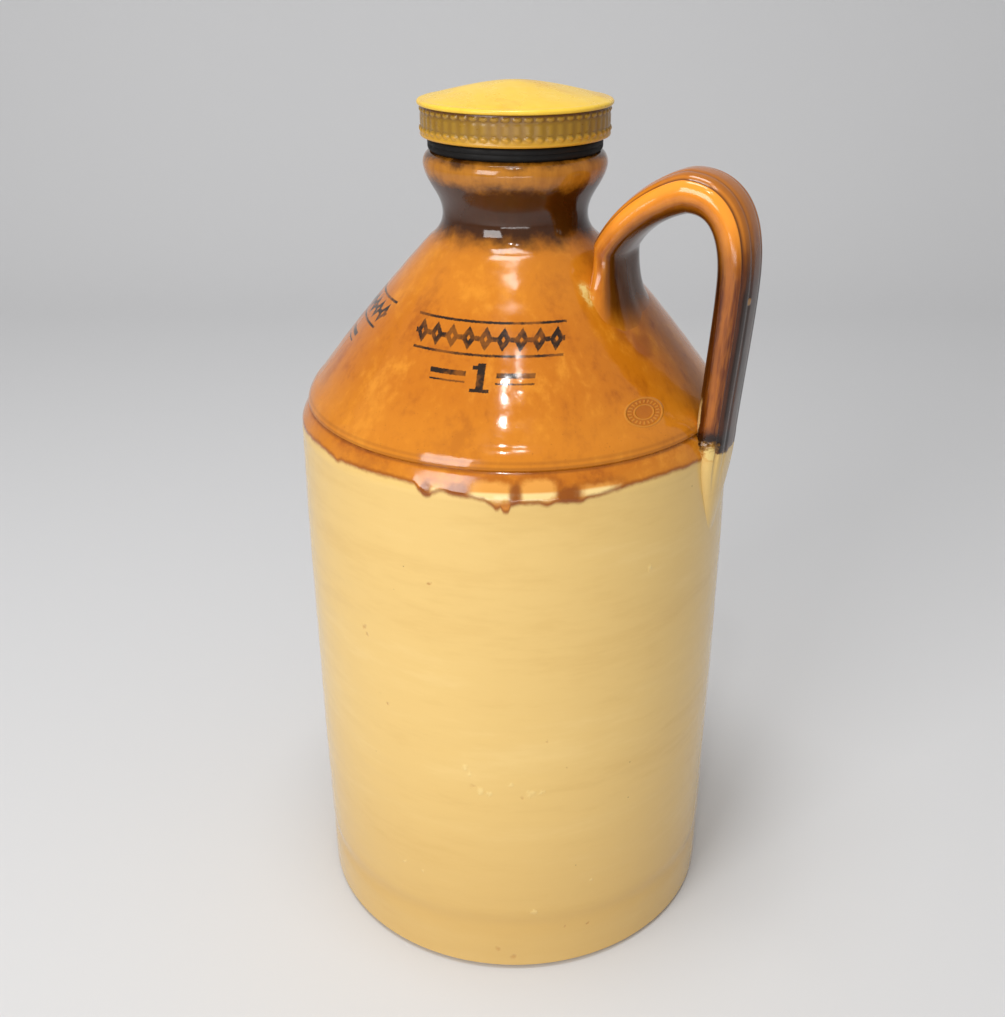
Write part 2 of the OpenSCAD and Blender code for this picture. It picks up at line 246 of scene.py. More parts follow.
def oval_distance(co, place, power):
    """Millimetres outside a rounded place on the wall, negative inside."""
    angle, z, wide, high = place
    across = abs(front_angle(co) - angle) / wide
    up = abs(co.z / MM - z) / high
    return ((across**power + up**power) ** (1 / power) - 1) * min(high, wide * MM_PER_DEGREE)


def thin_depth(co):
    """Millimetres outside the nearest thin place, negative inside."""
    return min(oval_distance(co, place, 3) for place in THIN_PLACES) + 0.35 * wander(co, 3.5, 9.0)


def pool_depth(co):
    """Millimetres outside the nearest dark pool, negative inside."""
    return min(oval_distance(co, place, 2) for place in POOLS) + 0.5 * wander(co, 3, 14.0)


# ---------------------------------------------------------------- the pot's outline


# Curves of the outline as radius and height: the crock's corner, and the shoulder's foot, crown and flare
CORNER = ((87.5, 222.5), (87.7, 227.6), (84.3, 233.1))
FOOT = ((84.3, 234.9), (83.5, 238.4), (79.9, 242.0))
CROWN = ((33.8, 297.0), (28.0, 301.2), (28.0, 307.0))
FLARE = ((28.0, 307.0), (28.0, 314.4), (34.4, 318.6), (35.0, 325.4))
RIM_RADIUS, RIM_ROUND, MOUTH = 35.0, 3.4, 330.1
# How far the cone swells at its middle, and the direction straight out of it
CONE_SWELL, CONE_OUT = 0.9, (0.766, 0.642)
# Millimetres along the cone for each millimetre up, and its normal's rise for each unit outwards
CONE_SLANT, CONE_LEAN = 1.305, 0.84


def wall_radius(z, radius, belly):
    """Radius of the crock's plain wall at a height in millimetres."""
    top, turns_in = 222.0, 180
    return radius + belly * math.sin(math.pi * min(z / top, 1)) - 0.5 * MM * ease(z, turns_in, top)


def cone_point(t):
    """A point on the cone's outside, from its foot at 0 to its crown at 1."""
    r, z = mix2(FOOT[2], CROWN[0], t)
    swell = CONE_SWELL * math.sin(math.pi * t)
    return (r + CONE_OUT[0] * swell, z + CONE_OUT[1] * swell)


def rim_point(t):
    """A point on the rim's rounding, from the flare at 0 to the mouth at 1."""
    turn = math.pi / 2 * t
    return (RIM_RADIUS - RIM_ROUND * (1 - math.cos(turn)), MOUTH - (MOUTH - FLARE[3][1]) * (1 - math.sin(turn)))


# The outside of the shoulder from the seam to the rim's upper edge
SHOULDER_OUTLINE = [bend(*FOOT, t) for t in steps(14)]
SHOULDER_OUTLINE += [cone_point(t) for t in steps(50, 1)]
SHOULDER_OUTLINE += [bend(*CROWN, t) for t in steps(14, 1)]
SHOULDER_OUTLINE += [bend4(*FLARE, t) for t in steps(24, 1)]
SHOULDER_OUTLINE += [rim_point(t) for t in steps(12, 1)]
# The same outline as a radius for each height, and the cone's as a height for each radius
POT_RADII = [(z, r) for r, z in [bend(*CORNER, t) for t in steps(8)] + SHOULDER_OUTLINE[1:90:2]]
CONE_HEIGHTS = [(-r, z) for r, z in SHOULDER_OUTLINE[14:78]]


def pot_radius(z):
    """Radius of the pot's outside at a height in millimetres, in metres."""
    return (CORNER[0][0] if z < CORNER[0][1] else between(POT_RADII, z)) * MM


def round_axis(degrees, radius, z):
    """The point at that radius and height, in metres, that many degrees from the front."""
    turn = math.radians(degrees - FRONT_TURN)
    return Vector((radius * math.cos(turn), radius * math.sin(turn), z))


def on_pot(degrees, z):
    """The point on the pot's outside that many degrees from the front and millimetres up."""
    return round_axis(degrees, pot_radius(z), z * MM)


# ---------------------------------------------------------------- meshes


# A turned piece is made as one sector, which is then copied all round
SECTORS = 8


def turned(outline, count, closed):
    """An outline in millimetres of radius and height, turned all round the axis."""
    bm = bmesh.new()
    verts = [bm.verts.new((r * MM, 0.0, z * MM)) for r, z in outline]
    edges = [bm.edges.new(pair) for pair in zip(verts, verts[1:])]
    if closed:
        edges.append(bm.edges.new((verts[-1], verts[0])))
    sector = math.tau / SECTORS
    centre = {"cent": (0, 0, 0), "axis": (0, 0, 1)}
    bmesh.ops.spin(bm, geom=verts + edges, angle=sector, steps=count // SECTORS, **centre)
    whole = bm.verts[:] + bm.edges[:] + bm.faces[:]
    bmesh.ops.spin(bm, geom=whole, angle=math.tau - sector, steps=SECTORS - 1, use_duplicate=True, **centre)
    bmesh.ops.remove_doubles(bm, verts=bm.verts[:], dist=MM / 1000)
    bmesh.ops.recalc_face_normals(bm, faces=bm.faces[:])
    return bm


def radius_of(co):
    """A point's distance from the jug's axis, in metres."""
    return math.hypot(co.x, co.y)


def push_out(vert, distance):
    """Moves a vertex straight away from the jug's axis."""
    radius = radius_of(vert.co)
    if radius > 0:
        vert.co.x *= 1 + distance / radius
        vert.co.y *= 1 + distance / radius


def thread_height(co, width, slope):
    """How far a point lies inside the winding of the thread, from 0 to 1."""
    turn = math.atan2(co.y, co.x) / math.tau
    offset = (co.z / MM - THREAD_START - THREAD_PITCH * turn) % THREAD_PITCH
    offset = min(offset, THREAD_PITCH - offset)
    return 1 - ease(offset, width / 2, width / 2 + slope)


def finished(bm, name, material, body, node, sharp=40):
    """Makes the piece's object, hangs it on the body it rides on and hides the CAD node that it stands for."""
    mesh = bpy.data.meshes.new(name)
    bm.to_mesh(mesh)
    bm.free()
    mesh.shade_smooth()
    mesh.set_sharp_from_angle(angle=math.radians(sharp))
    mesh.materials.append(material)
    piece = bpy.data.objects.new(name, mesh)
    bpy.context.scene.collection.objects.link(piece)
    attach(piece, body)
    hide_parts(node)


# ---------------------------------------------------------------- shader nodes


class Value:
    """What a node puts out. Sums on a number become the Math nodes that work them out."""

    def __init__(self, tree, socket):
        self.tree, self.socket = tree, socket

    def maths(self, operation, other=0.0, clamp=False):
        return made(self.tree, "ShaderNodeMath", {0: self, 1: other}, operation=operation, use_clamp=clamp)

    def __add__(self, other):
        return self.maths("ADD", other)

    def __sub__(self, other):
        return self.maths("SUBTRACT", other)

    def __rsub__(self, other):
        return made(self.tree, "ShaderNodeMath", {0: other, 1: self}, operation="SUBTRACT")

    def __mul__(self, other):
        return self.maths("MULTIPLY", other)

    def __truediv__(self, other):
        return self.maths("DIVIDE", other)

    def __abs__(self):
        return self.maths("ABSOLUTE")

    def step(self, low, high, to_low=0.0, to_high=1.0):
        """A smooth step of the number between two limits."""
        values = {"Value": self, "From Min": low, "From Max": high, "To Min": to_low, "To Max": to_high}
        return made(self.tree, "ShaderNodeMapRange", values, interpolation_type="SMOOTHSTEP")

    def beside(self, output):
        """Another output of the same node."""
        return Value(self.tree, self.socket.node.outputs[output])


def most(first, *others):
    for other in others:
        first = first.maths("MAXIMUM", other)
    return first


def least(first, other):
    return first.maths("MINIMUM", other)


def linear(rgb):
    """A screen colour as the light that a shader needs."""
    return tuple(c / 12.92 if c <= 0.04045 else ((c + 0.055) / 1.055) ** 2.4 for c in rgb) + (1.0,)


def put(tree, socket, value):
    """Links what a node puts out into a socket, or sets a number, a vector or a screen colour there."""
    if isinstance(value, Value):
        tree.links.new(value.socket, socket)
    else:
        socket.default_value = linear(value) if socket.type == "RGBA" else value


def made(tree, kind, values, output=0, **settings):
    """Adds a node, sets it up, fills or links its inputs, and gives one of its outputs."""
    node = tree.nodes.new(kind)
    for key, value in settings.items():
        setattr(node, key, value)
    for key, value in values.items():
        put(tree, node.inputs[key], value)
    return Value(tree, node.outputs[output])


def mixed(tree, share, under, over):
    """One colour laid over another, as thickly as the share says."""
    return made(tree, "ShaderNodeMix", {0: share, 6: under, 7: over}, 2, data_type="RGBA")


def cloud(tree, place, scale, detail, rough, distortion=0.0):
    """Noise from 0 to 1."""
    values = {"Vector": place, "Scale": scale, "Detail": detail, "Roughness": rough, "Distortion": distortion}
    return made(tree, "ShaderNodeTexNoise", values, "Fac")


def vectors(tree, operation, *values, output=0, **named):
    """What a Vector Math node makes of its inputs."""
    inputs = {**dict(enumerate(values)), **named}
    return made(tree, "ShaderNodeVectorMath", inputs, output, operation=operation)


def distance(tree, a, b):
    return vectors(tree, "DISTANCE", a, b, output="Value")


# ---------------------------------------------------------------- shader groups


# Drips of pale glaze beside the strap's ends, top and bottom: degrees from the front, millimetres up, radius
PALE_DRIPS = [
    ((35.0, 286.2, 2.2), (34.0, 280.8, 0.5)),
    ((36.0, 283.8, 0.9), (35.4, 281.2, 0.6)),
    ((54.6, 230.2, 1.7), (54.2, 226.8, 2.1)),
]
DRIP_THIN, DRIP_PALE = (0.8, 0.56, 0.2), (0.91, 0.8, 0.5)


def mottle(tree, place, middle, thin, thick, scale, amount):
    """Glaze that ran thicker and thinner in the kiln."""
    broad = cloud(tree, place, scale, 4.0, 0.55, 0.4)
    fine = cloud(tree, place, scale * 7.0, 3.0, 0.6)
    both = broad * 0.7 + fine * 0.3
    toned = mixed(tree, both.step(0.5, 0.68) * amount, middle, thin)
    return mixed(tree, both.step(0.5, 0.34) * amount, toned, thick)


def specks(tree, place, scale, share, size):
    """Small round specks of iron, one in some of the cells."""
    cells = made(tree, "ShaderNodeTexVoronoi", {"Vector": place, "Scale": scale}, "Color")
    chosen = made(tree, "ShaderNodeSeparateColor", {0: cells})
    inside = size * (chosen.beside(1) + 0.3) - cells.beside("Distance")
    return chosen.maths("LESS_THAN", share) * inside.step(0.0, 0.06)


def skin(tree, place, scale, ripple):
    """The faint orange peel of a fired glaze, as a height."""
    return cloud(tree, place, scale, 1.0, 0.4) * ripple + cloud(tree, place, scale * 5.0, 2.0, 0.5) * 0.12


def drips(tree, place, under):
    """Pale drips of glaze over a colour."""
    ragged = cloud(tree, place, 480.0, 3.0, 0.65) - 0.5
    for top, bottom in PALE_DRIPS:
        start, end = on_pot(*top[:2]), on_pot(*bottom[:2])
        run = end - start
        on_cone = start.z > CORNER[2][1] * MM
        normal = Vector((start.x, start.y, start.xy.length * CONE_LEAN if on_cone else 0))
        here = vectors(tree, "SUBTRACT", place, start)
        # The drip may stand proud of the pot, but doesn't show through to its far side
        lift = vectors(tree, "PROJECT", here, normal)
        here = vectors(tree, "MULTIPLY_ADD", lift, (-0.8, -0.8, -0.8), here)
        share = vectors(tree, "DOT_PRODUCT", here, run / run.length_squared, output="Value")
        share = share.maths("ADD", 0.0, True)
        edge = share * ((bottom[2] - top[2]) * MM) + top[2] * MM
        inside = edge - distance(tree, here, vectors(tree, "SCALE", run, Scale=share)) + ragged * (4.5 * MM)
        under = mixed(tree, inside.step(-1.4 * MM, 0.5 * MM, 0.0, 0.5), under, DRIP_THIN)
        under = mixed(tree, inside.step(-0.1 * MM, 1.3 * MM, 0.0, 0.85), under, DRIP_PALE)
    return under


VECTOR, FLOAT, COLOUR = "NodeSocketVector", "NodeSocketFloat", "NodeSocketColor"
# The shader groups: what builds each, its inputs in order, and its output
GROUPS = {
    "kiln_mottle": (
        mottle,
        {"Place": VECTOR, "Middle": COLOUR, "Thin": COLOUR, "Thick": COLOUR, "Scale": FLOAT, "Amount": FLOAT},
        ("Color", COLOUR),
    ),
    "iron_specks": (specks, {"Place": VECTOR, "Scale": FLOAT, "Share": FLOAT, "Size": FLOAT}, ("Mask", FLOAT)),
    "glaze_skin": (skin, {"Place": VECTOR, "Scale": FLOAT, "Ripple": FLOAT}, ("Height", FLOAT)),
    "pale_drips": (drips, {"Place": VECTOR, "Under": COLOUR}, ("Color", COLOUR)),
}


def group(name):
    """The shader group of that name, built where it isn't there yet."""
    if name not in bpy.data.node_groups:
        build, inputs, (result, kind) = GROUPS[name]
        tree = bpy.data.node_groups.new(name, "ShaderNodeTree")
        for label in inputs:
            tree.interface.new_socket(label, in_out="INPUT", socket_type=inputs[label])
        tree.interface.new_socket(result, in_out="OUTPUT", socket_type=kind)
        given = tree.nodes.new("NodeGroupInput").outputs
        shown = build(tree, *(Value(tree, given[label]) for label in inputs))
        put(tree, tree.nodes.new("NodeGroupOutput").inputs[result], shown)
    return bpy.data.node_groups[name]


class Finish:
    """A material in the making: its shader, the place of each point, and the colour laid so far."""

    def __init__(self, name):
        self.material = bpy.data.materials.new(name)
        self.material.use_nodes = True
        self.tree = self.material.node_tree
        self.shader = self.tree.nodes["Principled BSDF"]
        self.place = made(self.tree, "ShaderNodeTexCoord", {}, "Object")
        self.colour = None

    def height(self):
        """The height of each point in millimetres."""
        return made(self.tree, "ShaderNodeSeparateXYZ", {0: self.place}, 2) * (1 / MM)

    def stretched(self, up):
        """The place of each point, with its height made larger or smaller."""
        return vectors(self.tree, "MULTIPLY", self.place, (1.0, 1.0, up))

    def field(self, name):
        """A number stored on the piece's vertices."""
        return made(self.tree, "ShaderNodeAttribute", {}, "Fac", attribute_name=name)

    def cloud(self, scale, detail, rough, distortion=0.0, place=None):
        return cloud(self.tree, place or self.place, scale, detail, rough, distortion)

    def ragged(self, scale, detail, rough, distortion=0.0):
        """Noise about 0, to make an edge uneven with."""
        return self.cloud(scale, detail, rough, distortion) - 0.5

    def near(self):
        """1 round the printed places and the stamp, 0 elsewhere."""
        return self.field("near").step(0.2, 0.8)

    def grouped(self, name, **values):
        """Places a shader group in the material with its own values."""
        return made(self.tree, "ShaderNodeGroup", {"Place": self.place, **values}, node_tree=group(name))

    def mixed(self, share, under, over):
        return mixed(self.tree, share, under, over)

    def lay(self, share, colour):
        """Lays a colour over what is there, as thickly as the share says."""
        self.colour = self.mixed(share, self.colour, colour)

    def drip(self):
        """Lays the pale drips over what is there."""
        self.colour = self.grouped("pale_drips", Under=self.colour)

    def surface(self, roughness, height, strength, depth):
        """Gives the shader its colour, roughness and relief, and hands over the material."""
        values = {"Strength": strength, "Distance": depth, "Height": height}
        normal = made(self.tree, "ShaderNodeBump", values)
        for name, value in (("Base Color", self.colour), ("Roughness", roughness), ("Normal", normal)):
            put(self.tree, self.shader.inputs[name], value)
        return self.material

    def gloss(self, low, high, ripple, bump, relief=0.0):
        """Finishes a glaze: uneven gloss, and a rippled skin with any relief in it."""
        roughness = self.cloud(90.0, 3.0, 0.6).step(0.35, 0.7, low, high)
        skin = self.grouped("glaze_skin", Scale=160.0, Ripple=ripple)
        return self.surface(roughness, skin + relief, bump, 0.4 * MM)


def tan_colour(glaze, scene, place=None):
    """Tan glaze, thick and thin in soft patches."""
    tan = scene.jug_shoulder
    tones = {"Middle": tan.tan, "Thin": tan.tan_light, "Thick": tan.tan_deep}
    return glaze.grouped("kiln_mottle", Place=place or glaze.place, Scale=45.0, Amount=0.8, **tones)


def cream_colour(glaze, scene):
    """Cream glaze in soft bands, with fine dark pinholes."""
    crock = scene.jug_crock
    tones = {"Middle": crock.cream, "Thin": crock.cream_light, "Thick": crock.cream_deep}
    cream = glaze.grouped("kiln_mottle", Place=glaze.stretched(5.0), Scale=9.0, Amount=0.28, **tones)
    pinholes = glaze.grouped("iron_specks", Scale=210.0, Share=0.03, Size=0.1)
    return glaze.mixed(pinholes * 0.55, cream, scene.jug_shoulder.iron)


# ---------------------------------------------------------------- crock


# Marks on the cream wall: degrees from the front, millimetres up, radius, and depth (below zero stands proud)
WALL_MARKS = [
    (-21, 189, 0.9, 1.0), (-42, 160, 1.3, 0.7), (-41, 157, 1.0, 0.6), (-38, 132, 0.9, 0.7),
    (-35, 128, 1.1, 0.8), (8, 121, 0.9, 0.9), (13, 108, 0.6, 1.0), (-5, 12, 1.4, 0.6), (-0.5, 7, 1.5, 0.6),
    (14, 22, 0.8, 0.9), (21, 21, 0.8, 0.9), (5, 33, 1.3, -0.8), (-32, 49, 1.2, -0.7), (-26, 48, 0.9, -0.7),
    (21, 45, 1.0, -0.8), (-13, 108, 1.5, -0.9), (-11.5, 105, 1.2, -0.9), (-9, 97, 1.9, -0.9),
    (-6.5, 96, 1.3, -0.8), (4, 96, 1.9, -0.8), (-1, 101, 1.2, -0.8), (7, 97, 1.3, -0.7), (-11, 99, 1.1, 0.5),
    (2, 94, 1.0, 0.5), (35, 190, 1.4, -0.8), (160, 60, 1.2, 0.8), (-120, 150, 1.1, 0.9),
    (110, 170, 1.2, -0.8), (-160, 110, 1.0, 0.9),
]
WINDOW_GOLD, LOWER_WALL_DARK, BLISTER_HIGHLIGHT = (0.8, 0.58, 0.24), (0.76, 0.6, 0.33), (0.98, 0.88, 0.6)


def wall_marks(glaze, radius):
    """How deep and how proud the wall's few pits and blisters are at each point."""
    tree = glaze.tree
    sway = made(tree, "ShaderNodeTexNoise", {"Vector": glaze.place, "Scale": 420.0, "Detail": 2.0}, "Color")
    sway = vectors(tree, "SCALE", vectors(tree, "SUBTRACT", sway, (0.5, 0.5, 0.5)), Scale=4 * MM)
    pulled = vectors(tree, "ADD", sway, glaze.place)
    deep, proud = 0.0, 0.0
    for degrees, z, size, depth in WALL_MARKS:
        away = distance(tree, pulled, round_axis(degrees, radius, z * MM))
        mark = away.step(size * 1.3 * MM, size * 0.2 * MM, 0.0, abs(depth))
        if depth > 0:
            deep = mark + deep
        else:
            proud = mark + proud
    return deep, proud


def crock_material(scene):
    """Cream below and tan above the dipped edge, with an iron outline, pools, thin places and marks."""
    crock, shoulder = scene.jug_crock, scene.jug_shoulder
    glaze = Finish("crock_glaze")
    z = glaze.height()
    ragged = glaze.ragged(420.0, 4.0, 0.65)
    dip = glaze.field("dip") + ragged * 1.4
    thin = glaze.field("thin") + ragged * 2.0
    pool = glaze.field("pool") + ragged * 2.6
    brown = glaze.mixed(0.4, shoulder.tan_deep, shoulder.iron)
    window = glaze.mixed(z.step(226.8, 227.9, 0.0, 0.85), crock.cream_light, shoulder.tan_light)
    window = glaze.mixed(z.step(225.5, 224.5, 0.0, 0.85), window, WINDOW_GOLD)
    glaze.colour = tan_colour(glaze, scene)
    # Lighter tan over the corner above the dipped edge: thinner glaze there, with a painted highlight on the
    # corner too
    glaze.lay(dip.step(7.0, 3.0, 0.0, 0.3), shoulder.tan_light)
    glaze.lay(thin.step(2.4, 0.6, 0.0, 0.3), brown)
    glaze.lay(thin.step(0.9, -1.3), window)
    glaze.lay(pool.step(0.9, -1.2, 0.0, 0.8), brown)
    glaze.lay(dip.step(2.1, 0.5, 0.0, 0.7), brown)
    glaze.colour = glaze.mixed(dip.step(-1.2, 0.9), cream_colour(glaze, scene), glaze.colour)
    glaze.drip()
    # A darker band over the foot, a wall darker towards the bottom and the dark of the seam
    glaze.lay(z.step(14.0, 24.0) * z.step(36.0, 27.0) * 0.4, crock.cream_deep)
    glaze.lay(z.step(130.0, 0.0, 0.0, 0.5), LOWER_WALL_DARK)
    seam = crock.height / MM
    glaze.lay(z.step(seam - 1.1, seam - 0.3, 0.0, 0.2), shoulder.iron)
    deep, proud = wall_marks(glaze, crock.radius)
    glaze.lay(deep.maths("MULTIPLY", 0.5, True), shoulder.tan_deep)
    # Proud blisters are painted paler, a painted highlight where they stand up from the wall
    glaze.lay(proud.maths("MULTIPLY", 0.42, True), BLISTER_HIGHLIGHT)
    return glaze.gloss(0.1, 0.2, 0.6, 0.25, (proud - deep) * 2.6)


class JUG_OT_crock(bpy.types.Operator):
    """Turn the cream crock with its throwing rings, trimmed foot and dipped glaze edge"""

    bl_idname = "jug.crock"
    bl_label = "Crock"

    def execute(self, context):
        crock = context.scene.jug_crock
        radius, seam = crock.radius / MM, crock.height / MM
        wall_foot, plain_top, wall_top = 2.4, 214, CORNER[0][1]

        def wall(z):
            return (wall_radius(z, crock.radius, crock.belly) / MM, z)

        outline = [(0, 0), (radius - 2.8, 0), (radius - 1.2, 1.0)]
        outline += [wall(mix(wall_foot, plain_top, t)) for t in steps(92)]
        outline += [wall(mix(plain_top, wall_top, t)) for t in steps(10, 1)]
        outline += [bend(*CORNER, t) for t in steps(18, 1)]
        outline += [(LAND_R, seam - 0.03), (LAND_IN_R, seam - 0.03), (WELL_R, 218.8), (WELL_R, FLOOR + 12)]
        outline += [bend((WELL_R, FLOOR + 12), (WELL_R, FLOOR), (WELL_R - 12, FLOOR), t) for t in steps(5, 1)]
        outline += [(0, FLOOR)]
        bm = turned(outline, 600, False)
        dip, thin, pool = (bm.verts.layers.float.new(name) for name in ("dip", "thin", "pool"))
        for vert in bm.verts:
            z = vert.co.z / MM
            glazed = 216 < z < 235
            vert[dip] = dip_height(vert.co) if glazed else z - 226
            vert[thin] = thin_depth(vert.co) if glazed else 9.0
            vert[pool] = pool_depth(vert.co) if glazed else 9.0
            if radius_of(vert.co) < 82 * MM or z < 2:
                continue
            sway = wander(vert.co, 60, 1.0)
            rings = math.sin(z / 1.55 + 2 * sway) * 0.55 + math.sin(z / 0.83 + 3 * sway) * 0.25
            fade = ease(z, 4, 14) * (1 - ease(z, 215, 222))
            move = crock.ring_depth * rings * (0.5 + wander(vert.co, 25, 5.0)) * fade
            move += 0.2 * MM * wander(vert.co, 45, 2.0) * fade
            # The trimmed hollow over the foot, and the thicker lip of the tan glaze
            move -= 0.45 * MM * bell(z, 25, 7)
            move += 0.25 * MM * ease(vert[dip], -0.2, 0.8) * (1 - ease(vert[dip], 1.2, 4.0))
            push_out(vert, move)
        material = crock_material(context.scene)
        finished(bm, "crock_wall", material, "crock", "crock_body")
        return {"FINISHED"}


# ---------------------------------------------------------------- shoulder


# The impressed oval: degrees from the front, millimetres up, and half its width and height
STAMP = (38.0, 247.2, 8.8, 5.4)
STAMP_TICKS = 22
# Degrees from the front of the two printed places, and millimetres up to their middle
PRINTS = (-11.0, -93.0)
PRINT_HEIGHT = 267.0
# The printed row of lozenges: half its length, the width of a cell, and millimetres over the print's middle
ROW_HALF, ROW_CELL, ROW_UP = 28.8, 6.4, 7.6
# A lozenge's half width, how fast it narrows upwards, and where its line ends; half the width of a dot
LOZENGE, LOZENGE_LEAN, LOZENGE_LINE, DOT = 2.75, 0.58, 2.15, 0.9
# Bars of the printed mark: middle across, middle up, half width and half height in millimetres
PRINT_BARS = [
    (0.0, 13.9, 28.8, 0.55), (0.0, 1.3, 28.8, 0.55), (0.0, -7.2, 1.45, 5.6), (0.0, -12.1, 3.6, 0.7),
    (-1.9, -3.4, 1.4, 0.8), (-12.5, -6.0, 7.0, 1.05), (12.5, -6.0, 7.0, 1.05), (-12.5, -9.2, 7.0, 0.4),
    (12.5, -9.2, 7.0, 0.4),
]
# Red-brown marks left by the potter's thumb: degrees from the front, millimetres up, and half the size each way
SMEARS = [(40, 278, 5, 5), (44, 271, 6, 6), (50, 266, 8, 7), (54, 278, 7, 12)]
THUMB_RED, STAMP_THIN_AND_LIT, INK = (0.53, 0.24, 0.05), (0.88, 0.6, 0.22), (0.07, 0.06, 0.05)
WAIST_GLAZE_AND_SHADE = (0.09, 0.03, 0.006), (0.22, 0.085, 0.018)
LIP_TONES = (0.58, 0.34, 0.07), (0.85, 0.56, 0.16)
# Height and darkness of the two lines drawn over the seam
SEAM_LINES = ((235.3, 0.28), (237.2, 0.18))


def printed_mask(glaze):
    """A plain printed figure one between rules, under a row of lozenges, in uneven ink."""
    u = glaze.field("print_u")
    v = (glaze.height() - PRINT_HEIGHT) * CONE_SLANT
    cell = ((u + ROW_CELL / 2) / ROW_CELL).maths("FRACT") - 0.5
    cell = abs(cell * ROW_CELL)
    up = abs(v - ROW_UP)
    lozenge = LOZENGE - (cell + up * LOZENGE_LEAN)
    lozenge = least(lozenge, LOZENGE_LINE - lozenge)
    dot = least(cell - (ROW_CELL / 2 - DOT), 1.0 - up)
    whole = least(most(lozenge, dot), ROW_HALF - abs(u))
    for middle_u, middle_v, half_u, half_v in PRINT_BARS:
        whole = most(whole, least(half_u - abs(u - middle_u), half_v - abs(v - middle_v)))
    whole = whole + glaze.ragged(1400.0, 2.0, 0.6) * 0.7
    ink = glaze.cloud(130.0, 3.0, 0.6).step(0.33, 0.55, 0.6, 0.97) * glaze.near()
    return whole.step(-0.12, 0.22) * ink


def stamp_relief(glaze):
    """The oval's raised rims and ring of ticks as a height, and the whole oval as a mask."""
    across = glaze.field("oval_u") / STAMP[2]
    up = glaze.field("oval_v") / STAMP[3]
    outside = (across * across + up * up).maths("SQRT")
    rim = abs(outside - 1.0).step(0.1, 0.02)
    inner = abs(outside - 0.52).step(0.08, 0.02)
    tick = abs((up.maths("ARCTAN2", across) / (math.tau / STAMP_TICKS)).maths("FRACT") - 0.5)
    ticks = abs(outside - 0.76).step(0.14, 0.08) * tick.step(0.3, 0.15)
    near = glaze.near()
    return most(rim, inner, ticks) * near, outside.step(1.15, 0.95) * near


def shoulder_material(scene):
    """Mottled tan with a dark waist, partly dark glaze and partly painted shade, a golden lip, the seam's
    lines, the print, the stamp and drips.
    """
    settings = scene.jug_shoulder
    glaze = Finish("shoulder_glaze")
    z = glaze.height()
    glaze.colour = tan_colour(glaze, scene, glaze.stretched(0.55))
    glaze.lay(z.step(258.0, 242.0, 0.0, 0.35), settings.tan_light)
    glaze.lay(z.step(274.0, 288.0, 0.0, 0.32), settings.tan_light)
    freckles = glaze.grouped("iron_specks", Scale=900.0, Share=0.5, Size=0.16)
    glaze.lay(freckles * z.step(262.0, 236.0, 0.12, 0.4), settings.iron)
    smear = glaze.field("smear") + glaze.ragged(70.0, 4.0, 0.6, 0.6)
    glaze.lay(smear.step(0.15, 0.95, 0.0, 0.62), THUMB_RED)
    pressed, oval = stamp_relief(glaze)
    # The oval is darker, pooled glaze with painted shade, and its raised lines paler, thin glaze with a painted
    # highlight
    glaze.lay(oval * 0.52, settings.tan_deep)
    glaze.lay(pressed * 0.42, STAMP_THIN_AND_LIT)
    edge = z + glaze.ragged(110.0, 4.0, 0.65) * 10.0
    streaks = glaze.cloud(260.0, 3.0, 0.6, place=glaze.stretched(0.2))
    # The neck is painted dark: partly darker glaze, partly painted shade under the rim and the cap
    glaze.lay(edge.step(296.5, 304.5, 0.0, 0.95), glaze.mixed(streaks, *WAIST_GLAZE_AND_SHADE))
    # The golden lip fades out at the rim's top edge, leaving a painted shadow of the ring and cap there
    lip = edge.step(318.5, 324.5) * edge.step(331.5, 327.5)
    glaze.lay(lip * 0.85, glaze.mixed(streaks, *LIP_TONES))
    for height, strength in SEAM_LINES:
        glaze.lay(abs(z - height).step(0.9, 0.1, 0.0, strength), settings.iron)
    glaze.lay(z.step(235.2, 234.3, 0.0, 0.22), settings.iron)
    glaze.lay(printed_mask(glaze), INK)
    glaze.drip()
    return glaze.gloss(0.07, 0.16, 0.8, 0.3, pressed * 4.5)


